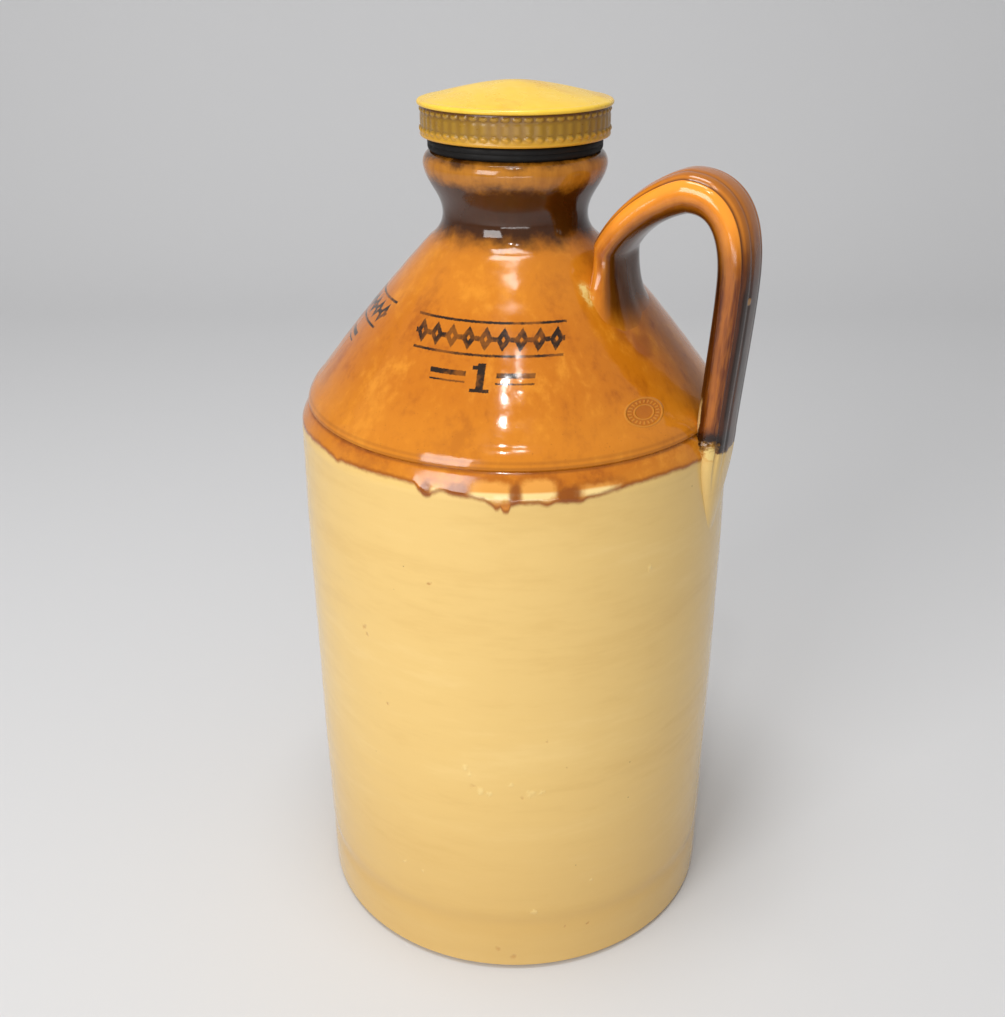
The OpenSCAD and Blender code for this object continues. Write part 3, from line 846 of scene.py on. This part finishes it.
class JUG_OT_shoulder(bpy.types.Operator):
    """Turn the tan shoulder, neck and rim with the threaded bore"""

    bl_idname = "jug.shoulder"
    bl_label = "Shoulder"

    def execute(self, context):
        scene = context.scene
        seam, mouth = scene.jug_crock.height / MM, scene.jug_shoulder.height / MM
        bore_top = mouth - 9.4
        outline = [(LAND_IN_R, seam + 0.03), (LAND_R, seam + 0.03)] + SHOULDER_OUTLINE
        outline += [(MOUTH_R, mouth), (ENTRY_R, mouth - 1), (ENTRY_R, mouth - 7)]
        outline += [(BORE_R, mix(bore_top, BORE_FOOT, t)) for t in steps(48)]
        outline += [bend((BORE_R, BORE_FOOT), (BORE_R, 297), (27.3, 291.5), t) for t in steps(5, 1)]
        bm = turned(outline, 528, True)
        names = ("oval_u", "oval_v", "print_u", "near", "smear")
        oval_u, oval_v, print_u, near, smear = (bm.verts.layers.float.new(name) for name in names)
        for vert in bm.verts:
            co = vert.co
            z, radius, angle = co.z / MM, radius_of(co) / MM, front_angle(co)
            vert[oval_u] = vert[oval_v] = vert[print_u] = 99.0
            if radius < BORE_R + 0.2 and z < mouth - 9:
                push_out(vert, 2.2 * MM * thread_height(co, 2.4, 1.6))
                continue
            if radius < 27.4 or z < seam + 0.1:
                continue
            fade = ease(z, 236, 244) * (1 - ease(z, 292, 300))
            move = 0.18 * MM * wander(co, 40, 4.0) * fade
            move += 0.04 * MM * math.sin(z / 1.3 + 2 * wander(co, 50, 6.0)) * fade
            across = math.radians(angle - STAMP[0]) * radius
            up = (z - STAMP[1]) * CONE_SLANT
            vert[oval_u], vert[oval_v] = across, up
            outside = math.hypot(across / STAMP[2], up / STAMP[3])
            if outside < 2:
                move += 0.25 * MM * bell(outside, 1.05, 0.3) - 0.2 * MM * bell(outside, 0.0, 1.1)
            beside = math.radians(min((angle - middle for middle in PRINTS), key=abs)) * radius
            vert[print_u] = beside
            vert[near] = float(abs(beside) < 32 or abs(across) < 12)
            thumbed = max(bell(math.hypot((angle - a) / w, (z - h) / t), 0, 1.3) for a, h, w, t in SMEARS)
            vert[smear] = thumbed + 0.25 * wander(co, 6, 8.0)
            push_out(vert, move)
        material = shoulder_material(scene)
        finished(bm, "shoulder_and_neck", material, "crock", "shoulder")
        return {"FINISHED"}


# ---------------------------------------------------------------- handle


# The strap's middle line in four stretches, as distance from the axis and height in millimetres
STRAP_LINE = [
    ((39.5, 283.0), (39.5, 310.5), (67.8, 321.2), (71.7, 321.2)),
    ((71.7, 321.2), (82.5, 321.2), (90.69, 314.1), (90.69, 292.7)),
    ((90.69, 292.7), (90.69, 279.5), (88.0, 250.5), (86.8, 231.7)),
    ((86.8, 231.7), (86.2, 219.0), (86.9, 202.0), (84.8, 188.0)),
]
# Its thickness at the ends of the stretches
STRAP_THICK = [11.6, 15.5, 13.0, 12.6, 5.6]
# The lines drawn along it: how far out from its middle, half their width, depth and darkness
STRAP_GROOVES = [(0.77, 0.1, 1.0, 0.85), (0.4, 0.12, 0.4, 0.35)]
# How squarely its section is rounded, and where on its line the root gives way to the plain strap
STRAP_SQUARE, STRAP_START = 0.8, 0.22
# How far the root is smeared over the shoulder: degrees round the strap from its underside, and millimetres
ROOT_REACH = [
    (-180, 2.5), (-130, 4), (-90, 6), (-40, 8), (0, 8), (25, 12), (50, 14), (75, 9), (100, 6), (130, 4),
    (180, 2.5),
]
DARK_STREAK_AND_SHADE, ARCH_HIGHLIGHT_GOLD, UNDER_SHADE = (0.36, 0.15, 0.03), (1.0, 0.62, 0.2), (0.17, 0.06, 0.015)
LEG_BROWN, CREST_HIGHLIGHT, LEG_EDGE_SHADE = (0.345, 0.135, 0.02), (0.74, 0.42, 0.08), (0.2, 0.08, 0.015)
FACE_SHADE, CLOT, CHIP_CLAY = (0.11, 0.05, 0.015), (0.06, 0.03, 0.015), (0.74, 0.56, 0.34)
# Where a chip shows on the strap's outer face, and the height of its own glaze edge in millimetres
CHIP = (0.0967, -0.0047, 0.285)
STRAP_DIP = 226.5


def strap_station(place):
    """Middle point and direction of the strap at a place from 0 at its root to 4 at its tail."""
    i = min(int(place), 3)
    t = place - i
    here, ahead, behind = (bend4(*STRAP_LINE[i], s) for s in (t, min(t + 0.01, 1.0), max(t - 0.01, 0.0)))
    along = Vector((ahead[0] - behind[0], 0, ahead[1] - behind[1])).normalized()
    return Vector((here[0] * MM, 0, here[1] * MM)), along


def strap_width(place, width):
    """The strap's width, which fans out at its root and narrows to its tail."""
    wide = width * (1 + 0.24 * (1 - ease(place, 0.1, 0.75)))
    return wide * mix(1.04, 0.4, ease(place, 3.2, 4)) if place > 3 else wide


def rounded(value):
    """A sine or cosine, drawn towards the corners of the strap's section."""
    return math.copysign(abs(value) ** STRAP_SQUARE, value)


def strap_ring(place, count, width, groove):
    """The strap's section at a place, as points all round it."""
    middle, along = strap_station(place)
    out = Vector((-along.z, 0, along.x))
    i = min(int(place), 3)
    half_thick = mix(STRAP_THICK[i], STRAP_THICK[i + 1], ease(place - i, 0, 1)) * MM / 2
    half_wide = strap_width(place, width) / 2
    depth = groove * ease(place, 0.15, 0.5) * (1 - ease(place, 3.1, 3.6))
    points = []
    for k in range(count):
        turn = math.tau * k / count
        v = rounded(math.cos(turn))
        h = rounded(math.sin(turn)) * half_thick
        if h > 0:
            h -= depth * max(deep * bell(abs(v), line, half) for line, half, deep, _ in STRAP_GROOVES)
        points.append(middle + out * h + Vector((0, v * half_wide, 0)))
    return points


def on_shoulder(x, y, sunk=0.0):
    """The point of the shoulder's outside over a place, set that many millimetres under its surface."""
    return Vector((x, y, (between(CONE_HEIGHTS, -math.hypot(x, y) / MM) - sunk) * MM))


def root_ring(share, top):
    """A ring of the root, from the strap's own section at 0 to its print on the shoulder at 1."""
    points = []
    for start in top:
        below = on_shoulder(start.x, start.y)
        theta = math.degrees(math.atan2(-start.y, start.x - STRAP_LINE[0][0][0] * MM))
        away = Vector((below.x - 36 * MM, below.y * 1.25, 0)).normalized() * between(ROOT_REACH, theta) * MM
        end = on_shoulder(below.x + away.x, below.y + away.y, 0.35)
        points.append(start.lerp(below, share).lerp(below.lerp(end, share), share))
    return points


def handle_material(scene):
    """The strap's tan glaze, drawn into streaks, darker down its leg, with the dip's edge at its tail."""
    iron = scene.jug_shoulder.iron
    glaze = Finish("handle_glaze")
    across, side, along, root = (glaze.field(name) for name in ("across", "side", "along", "root"))
    z, width = glaze.height(), abs(side)
    line = made(glaze.tree, "ShaderNodeCombineXYZ", {0: along * 0.012, 1: side, 2: across})
    streaks = glaze.cloud(3.2, 3.0, 0.6, place=line)
    grain = glaze.cloud(8.5, 2.0, 0.6, place=line)
    # Masks: the strap but not its root, its outer face, its leg, and the top of its loop, where a painted
    # highlight goes
    own = root.step(0.95, 0.25)
    outer = across.step(0.1, 0.55) * own
    leg = z.step(312.0, 288.0) * along.step(60.0, 90.0)
    lit_top = z.step(296.0, 316.0) * across.step(-0.3, 0.3, 0.0, 0.85) * width.step(0.6, 0.86, 0.45, 1.0)
    glaze.colour = tan_colour(glaze, scene, glaze.stretched(0.55))
    glaze.lay(streaks.step(0.42, 0.7, 0.0, 0.6) * own, scene.jug_shoulder.tan_light)
    glaze.lay(streaks.step(0.46, 0.28, 0.0, 0.45) * own, DARK_STREAK_AND_SHADE)
    glaze.lay(lit_top * own, ARCH_HIGHLIGHT_GOLD)
    glaze.lay(leg * grain.step(0.4, 0.62, 0.97, 0.7), LEG_BROWN)
    # Painted light and shade across the leg: a streaky painted highlight along the bead's crest, painted shade
    # on its inner edge
    lit_crest = abs(across - 0.1).step(0.3, 0.05, 0.0, 0.6) * streaks.step(0.35, 0.6, 0.4, 1.0)
    glaze.lay(lit_crest * leg, CREST_HIGHLIGHT)
    glaze.lay(across.step(0.0, -0.5, 0.0, 0.6) * leg, LEG_EDGE_SHADE)
    # Painted shade on the strap's outer face, which faces away from the key lamp
    glaze.lay(outer * width.step(0.82, 0.66, 0.0, 0.5) * along.step(40.0, 64.0, 0.5, 1.0), DARK_STREAK_AND_SHADE)
    # Near-black painted shade on the leg's outer face, broken by the streaks
    shade = outer * leg * width.step(0.8, 0.68, 0.0, 0.9)
    glaze.lay(shade * streaks.step(0.62, 0.42, 0.62, 1.0), FACE_SHADE)
    for middle, _, _, strength in STRAP_GROOVES:
        glaze.lay(abs(width - middle).step(0.07, 0.0, 0.0, strength) * outer, iron)
    # Painted shade on the strap's underside, fading out over its root
    glaze.lay(across.step(0.05, -0.7, 0.0, 0.85) * root.step(1.0, 0.5), UNDER_SHADE)
    # The dip's edge, with the glaze pooled over it and a clot and a pale run on its near side
    ragged = glaze.ragged(160.0, 4.0, 0.65)
    dip = z - STRAP_DIP + ragged * 9.0
    glaze.lay(dip.step(0.2, 1.6) * dip.step(17.0, 6.0) * 0.85, iron)
    clot = dip.step(0.4, 2.0) * dip.step(11.0, 6.5, 0.0, 0.85)
    glaze.lay(clot * side.step(0.2, -0.4), CLOT)
    run = abs(across + 0.62 + ragged * 0.5).step(0.2, 0.08) * side.step(0.0, -0.5) * dip.step(25.0, 17.0)
    glaze.lay(run * 0.75, scene.jug_crock.cream_light)
    glaze.colour = glaze.mixed(dip.step(-0.8, 0.8), cream_colour(glaze, scene), glaze.colour)
    glaze.drip()
    chip = distance(glaze.tree, glaze.place, CHIP).step(1.7 * MM, 0.9 * MM)
    glaze.lay(chip * 0.7, CHIP_CLAY)
    return glaze.gloss(0.07, 0.16, 0.8, 0.3, chip)


class JUG_OT_handle(bpy.types.Operator):
    """Pull the strap handle from its fanned root to its tail on the wall"""

    bl_idname = "jug.handle"
    bl_label = "Handle"

    def execute(self, context):
        handle = context.scene.jug_handle
        count, stations, root_rings = 132, 170, 18
        section = (count, handle.width, handle.groove)
        top = strap_ring(STRAP_START, *section)
        rings = [root_ring(1 - i / root_rings, top) for i in range(root_rings)]
        rings += [strap_ring(mix(STRAP_START, 4.0, i / stations), *section) for i in range(stations + 1)]
        bm = bmesh.new()
        names = ("along", "across", "side", "root")
        along, across, side, root = (bm.verts.layers.float.new(name) for name in names)

        def noted(vert, k, run, share):
            """Stores where a vertex lies on the strap, for its material."""
            turn = math.tau * k / count
            vert[along], vert[root] = run / MM, share
            vert[across], vert[side] = math.sin(turn), rounded(math.cos(turn))

        verts = [bm.verts.new(p) for p in rings[0]]
        edges = [bm.edges.new((verts[k], verts[(k + 1) % count])) for k in range(count)]
        bmesh.ops.contextual_create(bm, geom=edges)
        run = 0.0
        for k, vert in enumerate(verts):
            noted(vert, k, run, 1.0)
        for i, (before, ring) in enumerate(zip(rings, rings[1:]), 1):
            extruded = bmesh.ops.extrude_edge_only(bm, edges=edges)["geom"]
            fresh = [v for v in extruded if isinstance(v, bmesh.types.BMVert)]
            edges = [e for e in extruded if isinstance(e, bmesh.types.BMEdge)]
            edges = [e for e in edges if all(v in fresh for v in e.verts)]
            # The new vertices still lie on the ring before, which tells which point of the ring each one is
            start = {tuple(round(c, 9) for c in p): k for k, p in enumerate(before)}
            run += (ring[0] - before[0]).length
            for vert in fresh:
                k = start[tuple(round(c, 9) for c in vert.co)]
                vert.co = ring[k]
                noted(vert, k, run, max(1 - i / root_rings, 0.0))
        bmesh.ops.contextual_create(bm, geom=edges)
        # The tail is bedded on the pot's outside
        for vert in bm.verts:
            z = vert.co.z / MM
            inside = pot_radius(z) - 0.35 * MM - radius_of(vert.co)
            if inside > 0 and z < 262:
                push_out(vert, inside)
        bmesh.ops.recalc_face_normals(bm, faces=bm.faces[:])
        material = handle_material(context.scene)
        finished(bm, "strap_handle", material, "crock", "handle", 50)
        return {"FINISHED"}


# ---------------------------------------------------------------- rubber ring


RUBBER_GREY = (0.1, 0.09, 0.08)


def ring_material(settings):
    """Black rubber, a little greyer where it is worn."""
    rubber = Finish("ring_rubber")
    worn = rubber.cloud(140.0, 4.0, 0.6)
    rubber.colour = rubber.mixed(worn.step(0.5, 0.8, 0.0, 0.4), settings.rubber, RUBBER_GREY)
    rubber.shader.inputs["Specular IOR Level"].default_value = 0.25
    grain = rubber.cloud(1500.0, 2.0, 0.5)
    return rubber.surface(worn.step(0.3, 0.7, 0.5, 0.75), grain, 0.3, 0.1 * MM)


class JUG_OT_ring(bpy.types.Operator):
    """Turn the black rubber ring that sits between rim and cap"""

    bl_idname = "jug.ring"
    bl_label = "Rubber ring"

    def execute(self, context):
        settings = context.scene.jug_stopper
        outer, low, high = settings.ring_radius / MM, context.scene.jug_shoulder.height / MM, CAP
        inner, corner, line = 21.6, 1.6, 0.25
        # The rounding of an outer corner, as shares of its radius inwards and upwards
        rounding = [(1 - math.sin(math.pi / 2 * t), 1 - math.cos(math.pi / 2 * t)) for t in steps(8)]
        middle = (low + high) / 2
        outline = [(inner, low)] + [(outer - corner * a, low + corner * b) for a, b in rounding]
        outline += [(outer, middle - line), (outer - 0.18, middle), (outer, middle + line)]
        outline += [(outer - corner * b, high - corner * a) for a, b in rounding] + [(inner, high)]
        bm = turned(outline, 200, True)
        finished(bm, "rubber_ring", ring_material(settings), "ring", "sealing_ring")
        return {"FINISHED"}


# ---------------------------------------------------------------- stopper


# Heights of the grip's two rows of beads over the cap's underside
ROPE_UP, DASH_UP = 2.8, 9.6
DOME_PALE, DOME_DEEP = (0.98, 0.84, 0.36), (0.86, 0.64, 0.16)
GRIP_SHADE_BROWN, BEAD_HIGHLIGHT_GOLD, ROLL_GOLD = (0.46, 0.285, 0.02), (0.86, 0.62, 0.14), (0.84, 0.62, 0.16)


def band_relief(co, height, ribs):
    """How proud the grip stands there, from 0 in its hollows to 1 on its beads."""
    turn = (math.atan2(co.y, co.x) / math.tau * ribs) % 1
    middle = abs(turn - 0.5)
    lean = abs((turn + 0.12 * (height - ROPE_UP)) % 1 - 0.5)
    rope = 1 - (lean / 0.4) ** 2 - ((height - ROPE_UP) / 0.95) ** 2
    dash = 1 - (middle / 0.36) ** 4 - ((height - DASH_UP) / 0.7) ** 2
    rib = ease(height, 3.8, 4.6) * (1 - ease(height, 7.6, 8.4)) * (0.2 + 0.13 * math.cos(math.tau * middle))
    shelf = 0.25 * (1 - ease(height, 2.0, 2.6))
    return max(math.sqrt(max(rope, 0)), 0.75 * math.sqrt(max(dash, 0)), rib, shelf, 0.05)


def stopper_material(scene):
    """Yellow-brown glaze, golden on the dome; the grip painted brown as shade, olive in its hollows, with
    painted highlights on its beads.
    """
    settings, iron = scene.jug_stopper, scene.jug_shoulder.iron
    glaze = Finish("stopper_glaze")
    z, relief = glaze.height(), glaze.field("relief")
    tones = {"Middle": settings.gold, "Thin": DOME_PALE, "Thick": DOME_DEEP}
    glaze.colour = glaze.grouped("kiln_mottle", Scale=45.0, Amount=0.45, **tones)
    grip_top = LEDGE - 0.3
    # The grip under the ledge is painted brown, a painted shade of its upright face under the disc
    band = z.step(LEDGE + 0.3, grip_top, 0.0, 0.75)
    glaze.lay(band, GRIP_SHADE_BROWN)
    hollow = relief.step(0.36, 0.06) * z.step(CAP + DASH_UP - 1.5, CAP + DASH_UP - 0.5, 0.32, 0.72)
    glaze.lay(hollow, settings.olive)
    # Painted highlight on the grip's proud beads
    glaze.lay(relief.step(0.6, 1.0) * band * 0.8, BEAD_HIGHLIGHT_GOLD)
    glaze.lay(z.step(CAP + ROPE_UP + 0.5, CAP + ROPE_UP - 0.9, 0.0, 0.8) * band, ROLL_GOLD)
    glaze.lay(abs(z - grip_top).step(0.7, 0.2, 0.0, 0.6), iron)
    freckles = glaze.grouped("iron_specks", Scale=520.0, Share=0.05, Size=0.2)
    glaze.lay(freckles * 0.3, iron)
    return glaze.gloss(0.24, 0.38, 0.6, 0.3)


class JUG_OT_stopper(bpy.types.Operator):
    """Turn the screw stopper with its dome, ribbed and beaded grip, and threaded shank"""

    bl_idname = "jug.stopper"
    bl_label = "Screw stopper"

    def execute(self, context):
        settings = context.scene.jug_stopper
        peak, disc, ribs = settings.height / MM, settings.radius / MM, settings.ribs
        shank_foot, shank_top, hollow_top = 301.3, 321.2, 341.4
        outline = [(HOLLOW_R, shank_foot), (SHANK_R - 1, shank_foot), (SHANK_R, shank_foot + 1)]
        outline += [(SHANK_R, mix(shank_foot + 1, shank_top, t)) for t in steps(54, 1)]
        outline += [(COLLAR_R, 323.6), (COLLAR_R, CAP), (34.6, CAP)]
        outline += [bend((34.6, CAP), (CAP_R, CAP), (CAP_R, CAP + 1), t) for t in steps(5, 1)]
        outline += [(CAP_R - 0.35, CAP + 1.5)]
        outline += [(GRIP_R, mix(CAP + 1.6, LEDGE - 0.3, t)) for t in steps(20)]
        outline += [(GRIP_R - 0.1, LEDGE), (disc - 0.5, LEDGE + 0.05), (disc - 0.1, LEDGE + 0.4)]
        outline += [(disc, LEDGE + 0.9), (disc - 0.1, BRIM - 0.5), (disc - 0.5, BRIM - 0.1)]
        lip, dip, rise = (disc - 1.2, BRIM + 0.15), (disc - 2.2, BRIM + 0.1), (disc - 3.4, BRIM + 0.6)
        outline += [lip] + [bend(lip, dip, rise, t) for t in steps(4, 1)]
        outline += [bend4(rise, (20, peak - 2.4), (9, peak), (0, peak), t) for t in steps(22, 1)]
        outline += [(0, hollow_top), (HOLLOW_R - 1, hollow_top), (HOLLOW_R, hollow_top - 1)]
        bm = turned(outline, ribs * 12, True)
        relief = bm.verts.layers.float.new("relief")
        for vert in bm.verts:
            z, radius = vert.co.z / MM, radius_of(vert.co) / MM
            vert[relief] = 1.0
            if abs(radius - SHANK_R) < 0.01 and shank_foot + 1.1 < z < shank_top + 0.1:
                fade = ease(z, 303.2, 304.6) * (1 - ease(z, 317.5, 319.5))
                push_out(vert, 2.3 * MM * fade * thread_height(vert.co, 1.4, 1.3))
            if abs(radius - GRIP_R) < 0.2 and CAP + 1.4 < z < LEDGE - 0.2:
                vert[relief] = band_relief(vert.co, z - CAP, ribs)
                push_out(vert, 0.7 * MM * vert[relief])
            elif LEDGE - 0.4 < z < LEDGE + 0.2 and radius < GRIP_R + 0.2:
                vert[relief] = 0.0
        material = stopper_material(context.scene)
        finished(bm, "stopper", material, "stopper", "screw_stopper")
        return {"FINISHED"}


# ---------------------------------------------------------------- stage


# The lamps: degrees from the front, degrees up and metres away, width and height, and the power in watts as a
# share of the key lamp's and as a number of its own
LAMPS = {
    "key_lamp": ((-36, 21, 1.6), (0.7, 0.7), 0.72, 0.0),
    "top_lamp": ((-30, 81, 1.5), (0.6, 0.6), 0.72, 0.0),
    "strip_lamp": ((-1, -2, 1.4), (1.1, 0.1), 0.14, 0.0),
    "front_lamp": ((-8, 55, 1.5), (0.06, 0.06), 0.0, 1.2),
    "side_lamp": ((4, 58, 1.5), (0.04, 0.04), 0.0, 0.6),
}
LAMP_TARGET = Vector((0, 0, 0.2))
SKY = 0.38
# The camera's distance from the jug's axis and its height in metres, its tilt down, and its shift
CAMERA_AWAY, CAMERA_UP, CAMERA_TILT, CAMERA_SHIFT = 0.4522, 0.4006, 26.1, -0.0126
# The floor in metres: its near end, where it bends up behind the jug, the bend, its top and half its width
FLOOR_NEAR, FLOOR_BEND, FLOOR_ROUND, FLOOR_TOP, FLOOR_HALF = -4.0, 0.9, 0.5, 2.4, 4.5


class JUG_OT_stage(bpy.types.Operator):
    """Set the pale floor and backdrop, the soft lamps and the camera"""

    bl_idname = "jug.stage"
    bl_label = "Stage"

    def execute(self, context):
        scene = context.scene
        settings = scene.jug_stage
        self.floor(scene, settings)
        for name, (place, size, share, watts) in LAMPS.items():
            self.lamp(scene, name, place, size, settings.key * share + watts)
        world = scene.world or bpy.data.worlds.new("World")
        scene.world = world
        world.use_nodes = True
        sky = world.node_tree.nodes["Background"]
        sky.inputs[0].default_value = (1.0, 1.0, 1.0, 1.0)
        sky.inputs[1].default_value = SKY
        scene.view_settings.view_transform = "Standard"
        self.camera(scene, settings)
        return {"FINISHED"}

    def floor(self, scene, settings):
        """A floor that bends up into a backdrop behind the jug."""
        profile = [(FLOOR_NEAR, 0.0), (FLOOR_BEND, 0.0)]
        for t in steps(12, 1):
            turn = math.pi / 2 * t
            behind, up = FLOOR_ROUND * math.sin(turn), FLOOR_ROUND - FLOOR_ROUND * math.cos(turn)
            profile.append((FLOOR_BEND + behind, up))
        profile.append((FLOOR_BEND + FLOOR_ROUND, FLOOR_TOP))
        turn = math.radians(FRONT_TURN - 90)
        away = Vector((math.sin(turn), math.cos(turn), 0))
        side = Vector((math.cos(turn), -math.sin(turn), 0)) * FLOOR_HALF
        bm = bmesh.new()
        verts = [bm.verts.new(away * d - side + Vector((0, 0, h))) for d, h in profile]
        edges = [bm.edges.new(pair) for pair in zip(verts, verts[1:])]
        extruded = bmesh.ops.extrude_edge_only(bm, edges=edges)["geom"]
        moved = [v for v in extruded if isinstance(v, bmesh.types.BMVert)]
        bmesh.ops.translate(bm, verts=moved, vec=side * 2)
        bmesh.ops.recalc_face_normals(bm, faces=bm.faces[:])
        mesh = bpy.data.meshes.new("floor")
        bm.to_mesh(mesh)
        bm.free()
        mesh.shade_smooth()
        paper = bpy.data.materials.new("floor_paper")
        paper.use_nodes = True
        shader = paper.node_tree.nodes["Principled BSDF"]
        shader.inputs["Base Color"].default_value = linear(settings.floor)
        shader.inputs["Roughness"].default_value = 0.9
        mesh.materials.append(paper)
        floor = bpy.data.objects.new("floor", mesh)
        scene.collection.objects.link(floor)

    def lamp(self, scene, name, place, size, watts):
        """A flat lamp aimed at the jug."""
        turn, up, away = math.radians(place[0] - FRONT_TURN), math.radians(place[1]), place[2]
        light = bpy.data.lights.new(name, "AREA")
        light.shape = "RECTANGLE"
        light.size, light.size_y = size
        light.energy = watts
        item = bpy.data.objects.new(name, light)
        to_lamp = Vector((math.cos(turn) * math.cos(up), math.sin(turn) * math.cos(up), math.sin(up)))
        item.location = LAMP_TARGET + to_lamp * away
        item.rotation_euler = (-to_lamp).to_track_quat("-Z", "Y").to_euler()
        scene.collection.objects.link(item)

    def camera(self, scene, settings):
        """The camera at the picture's angle."""
        lens = bpy.data.cameras.new("camera")
        lens.sensor_fit = "VERTICAL"
        lens.sensor_height = 36.0
        lens.lens = settings.lens
        lens.shift_x = CAMERA_SHIFT
        item = bpy.data.objects.new("camera", lens)
        turn = math.radians(90 - FRONT_TURN)
        item.location = (CAMERA_AWAY * math.sin(turn), -CAMERA_AWAY * math.cos(turn), CAMERA_UP)
        item.rotation_euler = (math.radians(90 - CAMERA_TILT), 0.0, turn)
        scene.collection.objects.link(item)
        scene.camera = item


# ---------------------------------------------------------------- panel and start


class JUG_PT_panel(bpy.types.Panel):
    """Lists the jug's pieces"""

    bl_idname = "JUG_PT_panel"
    bl_label = "Stoneware jug"
    bl_space_type = "VIEW_3D"
    bl_region_type = "UI"
    bl_category = "Jug"

    def draw(self, context):
        for operator in OPERATORS:
            self.layout.operator(operator.bl_idname)


SETTINGS = {
    "jug_crock": CrockSettings,
    "jug_shoulder": ShoulderSettings,
    "jug_handle": HandleSettings,
    "jug_stopper": StopperSettings,
    "jug_stage": StageSettings,
}
OPERATORS = (JUG_OT_stage, JUG_OT_crock, JUG_OT_shoulder, JUG_OT_handle, JUG_OT_ring, JUG_OT_stopper)
CLASSES = tuple(SETTINGS.values()) + OPERATORS + (JUG_PT_panel,)


def register():
    for cls in CLASSES:
        bpy.utils.register_class(cls)
    for name, cls in SETTINGS.items():
        setattr(bpy.types.Scene, name, PointerProperty(type=cls))


def unregister():
    for name in SETTINGS:
        delattr(bpy.types.Scene, name)
    for cls in reversed(CLASSES):
        bpy.utils.unregister_class(cls)


def main():
    register()
    bpy.ops.jug.stage()
    bpy.ops.jug.crock()
    bpy.ops.jug.shoulder()
    bpy.ops.jug.handle()
    bpy.ops.jug.ring()
    bpy.ops.jug.stopper()


if __name__ == "__main__":
    main()
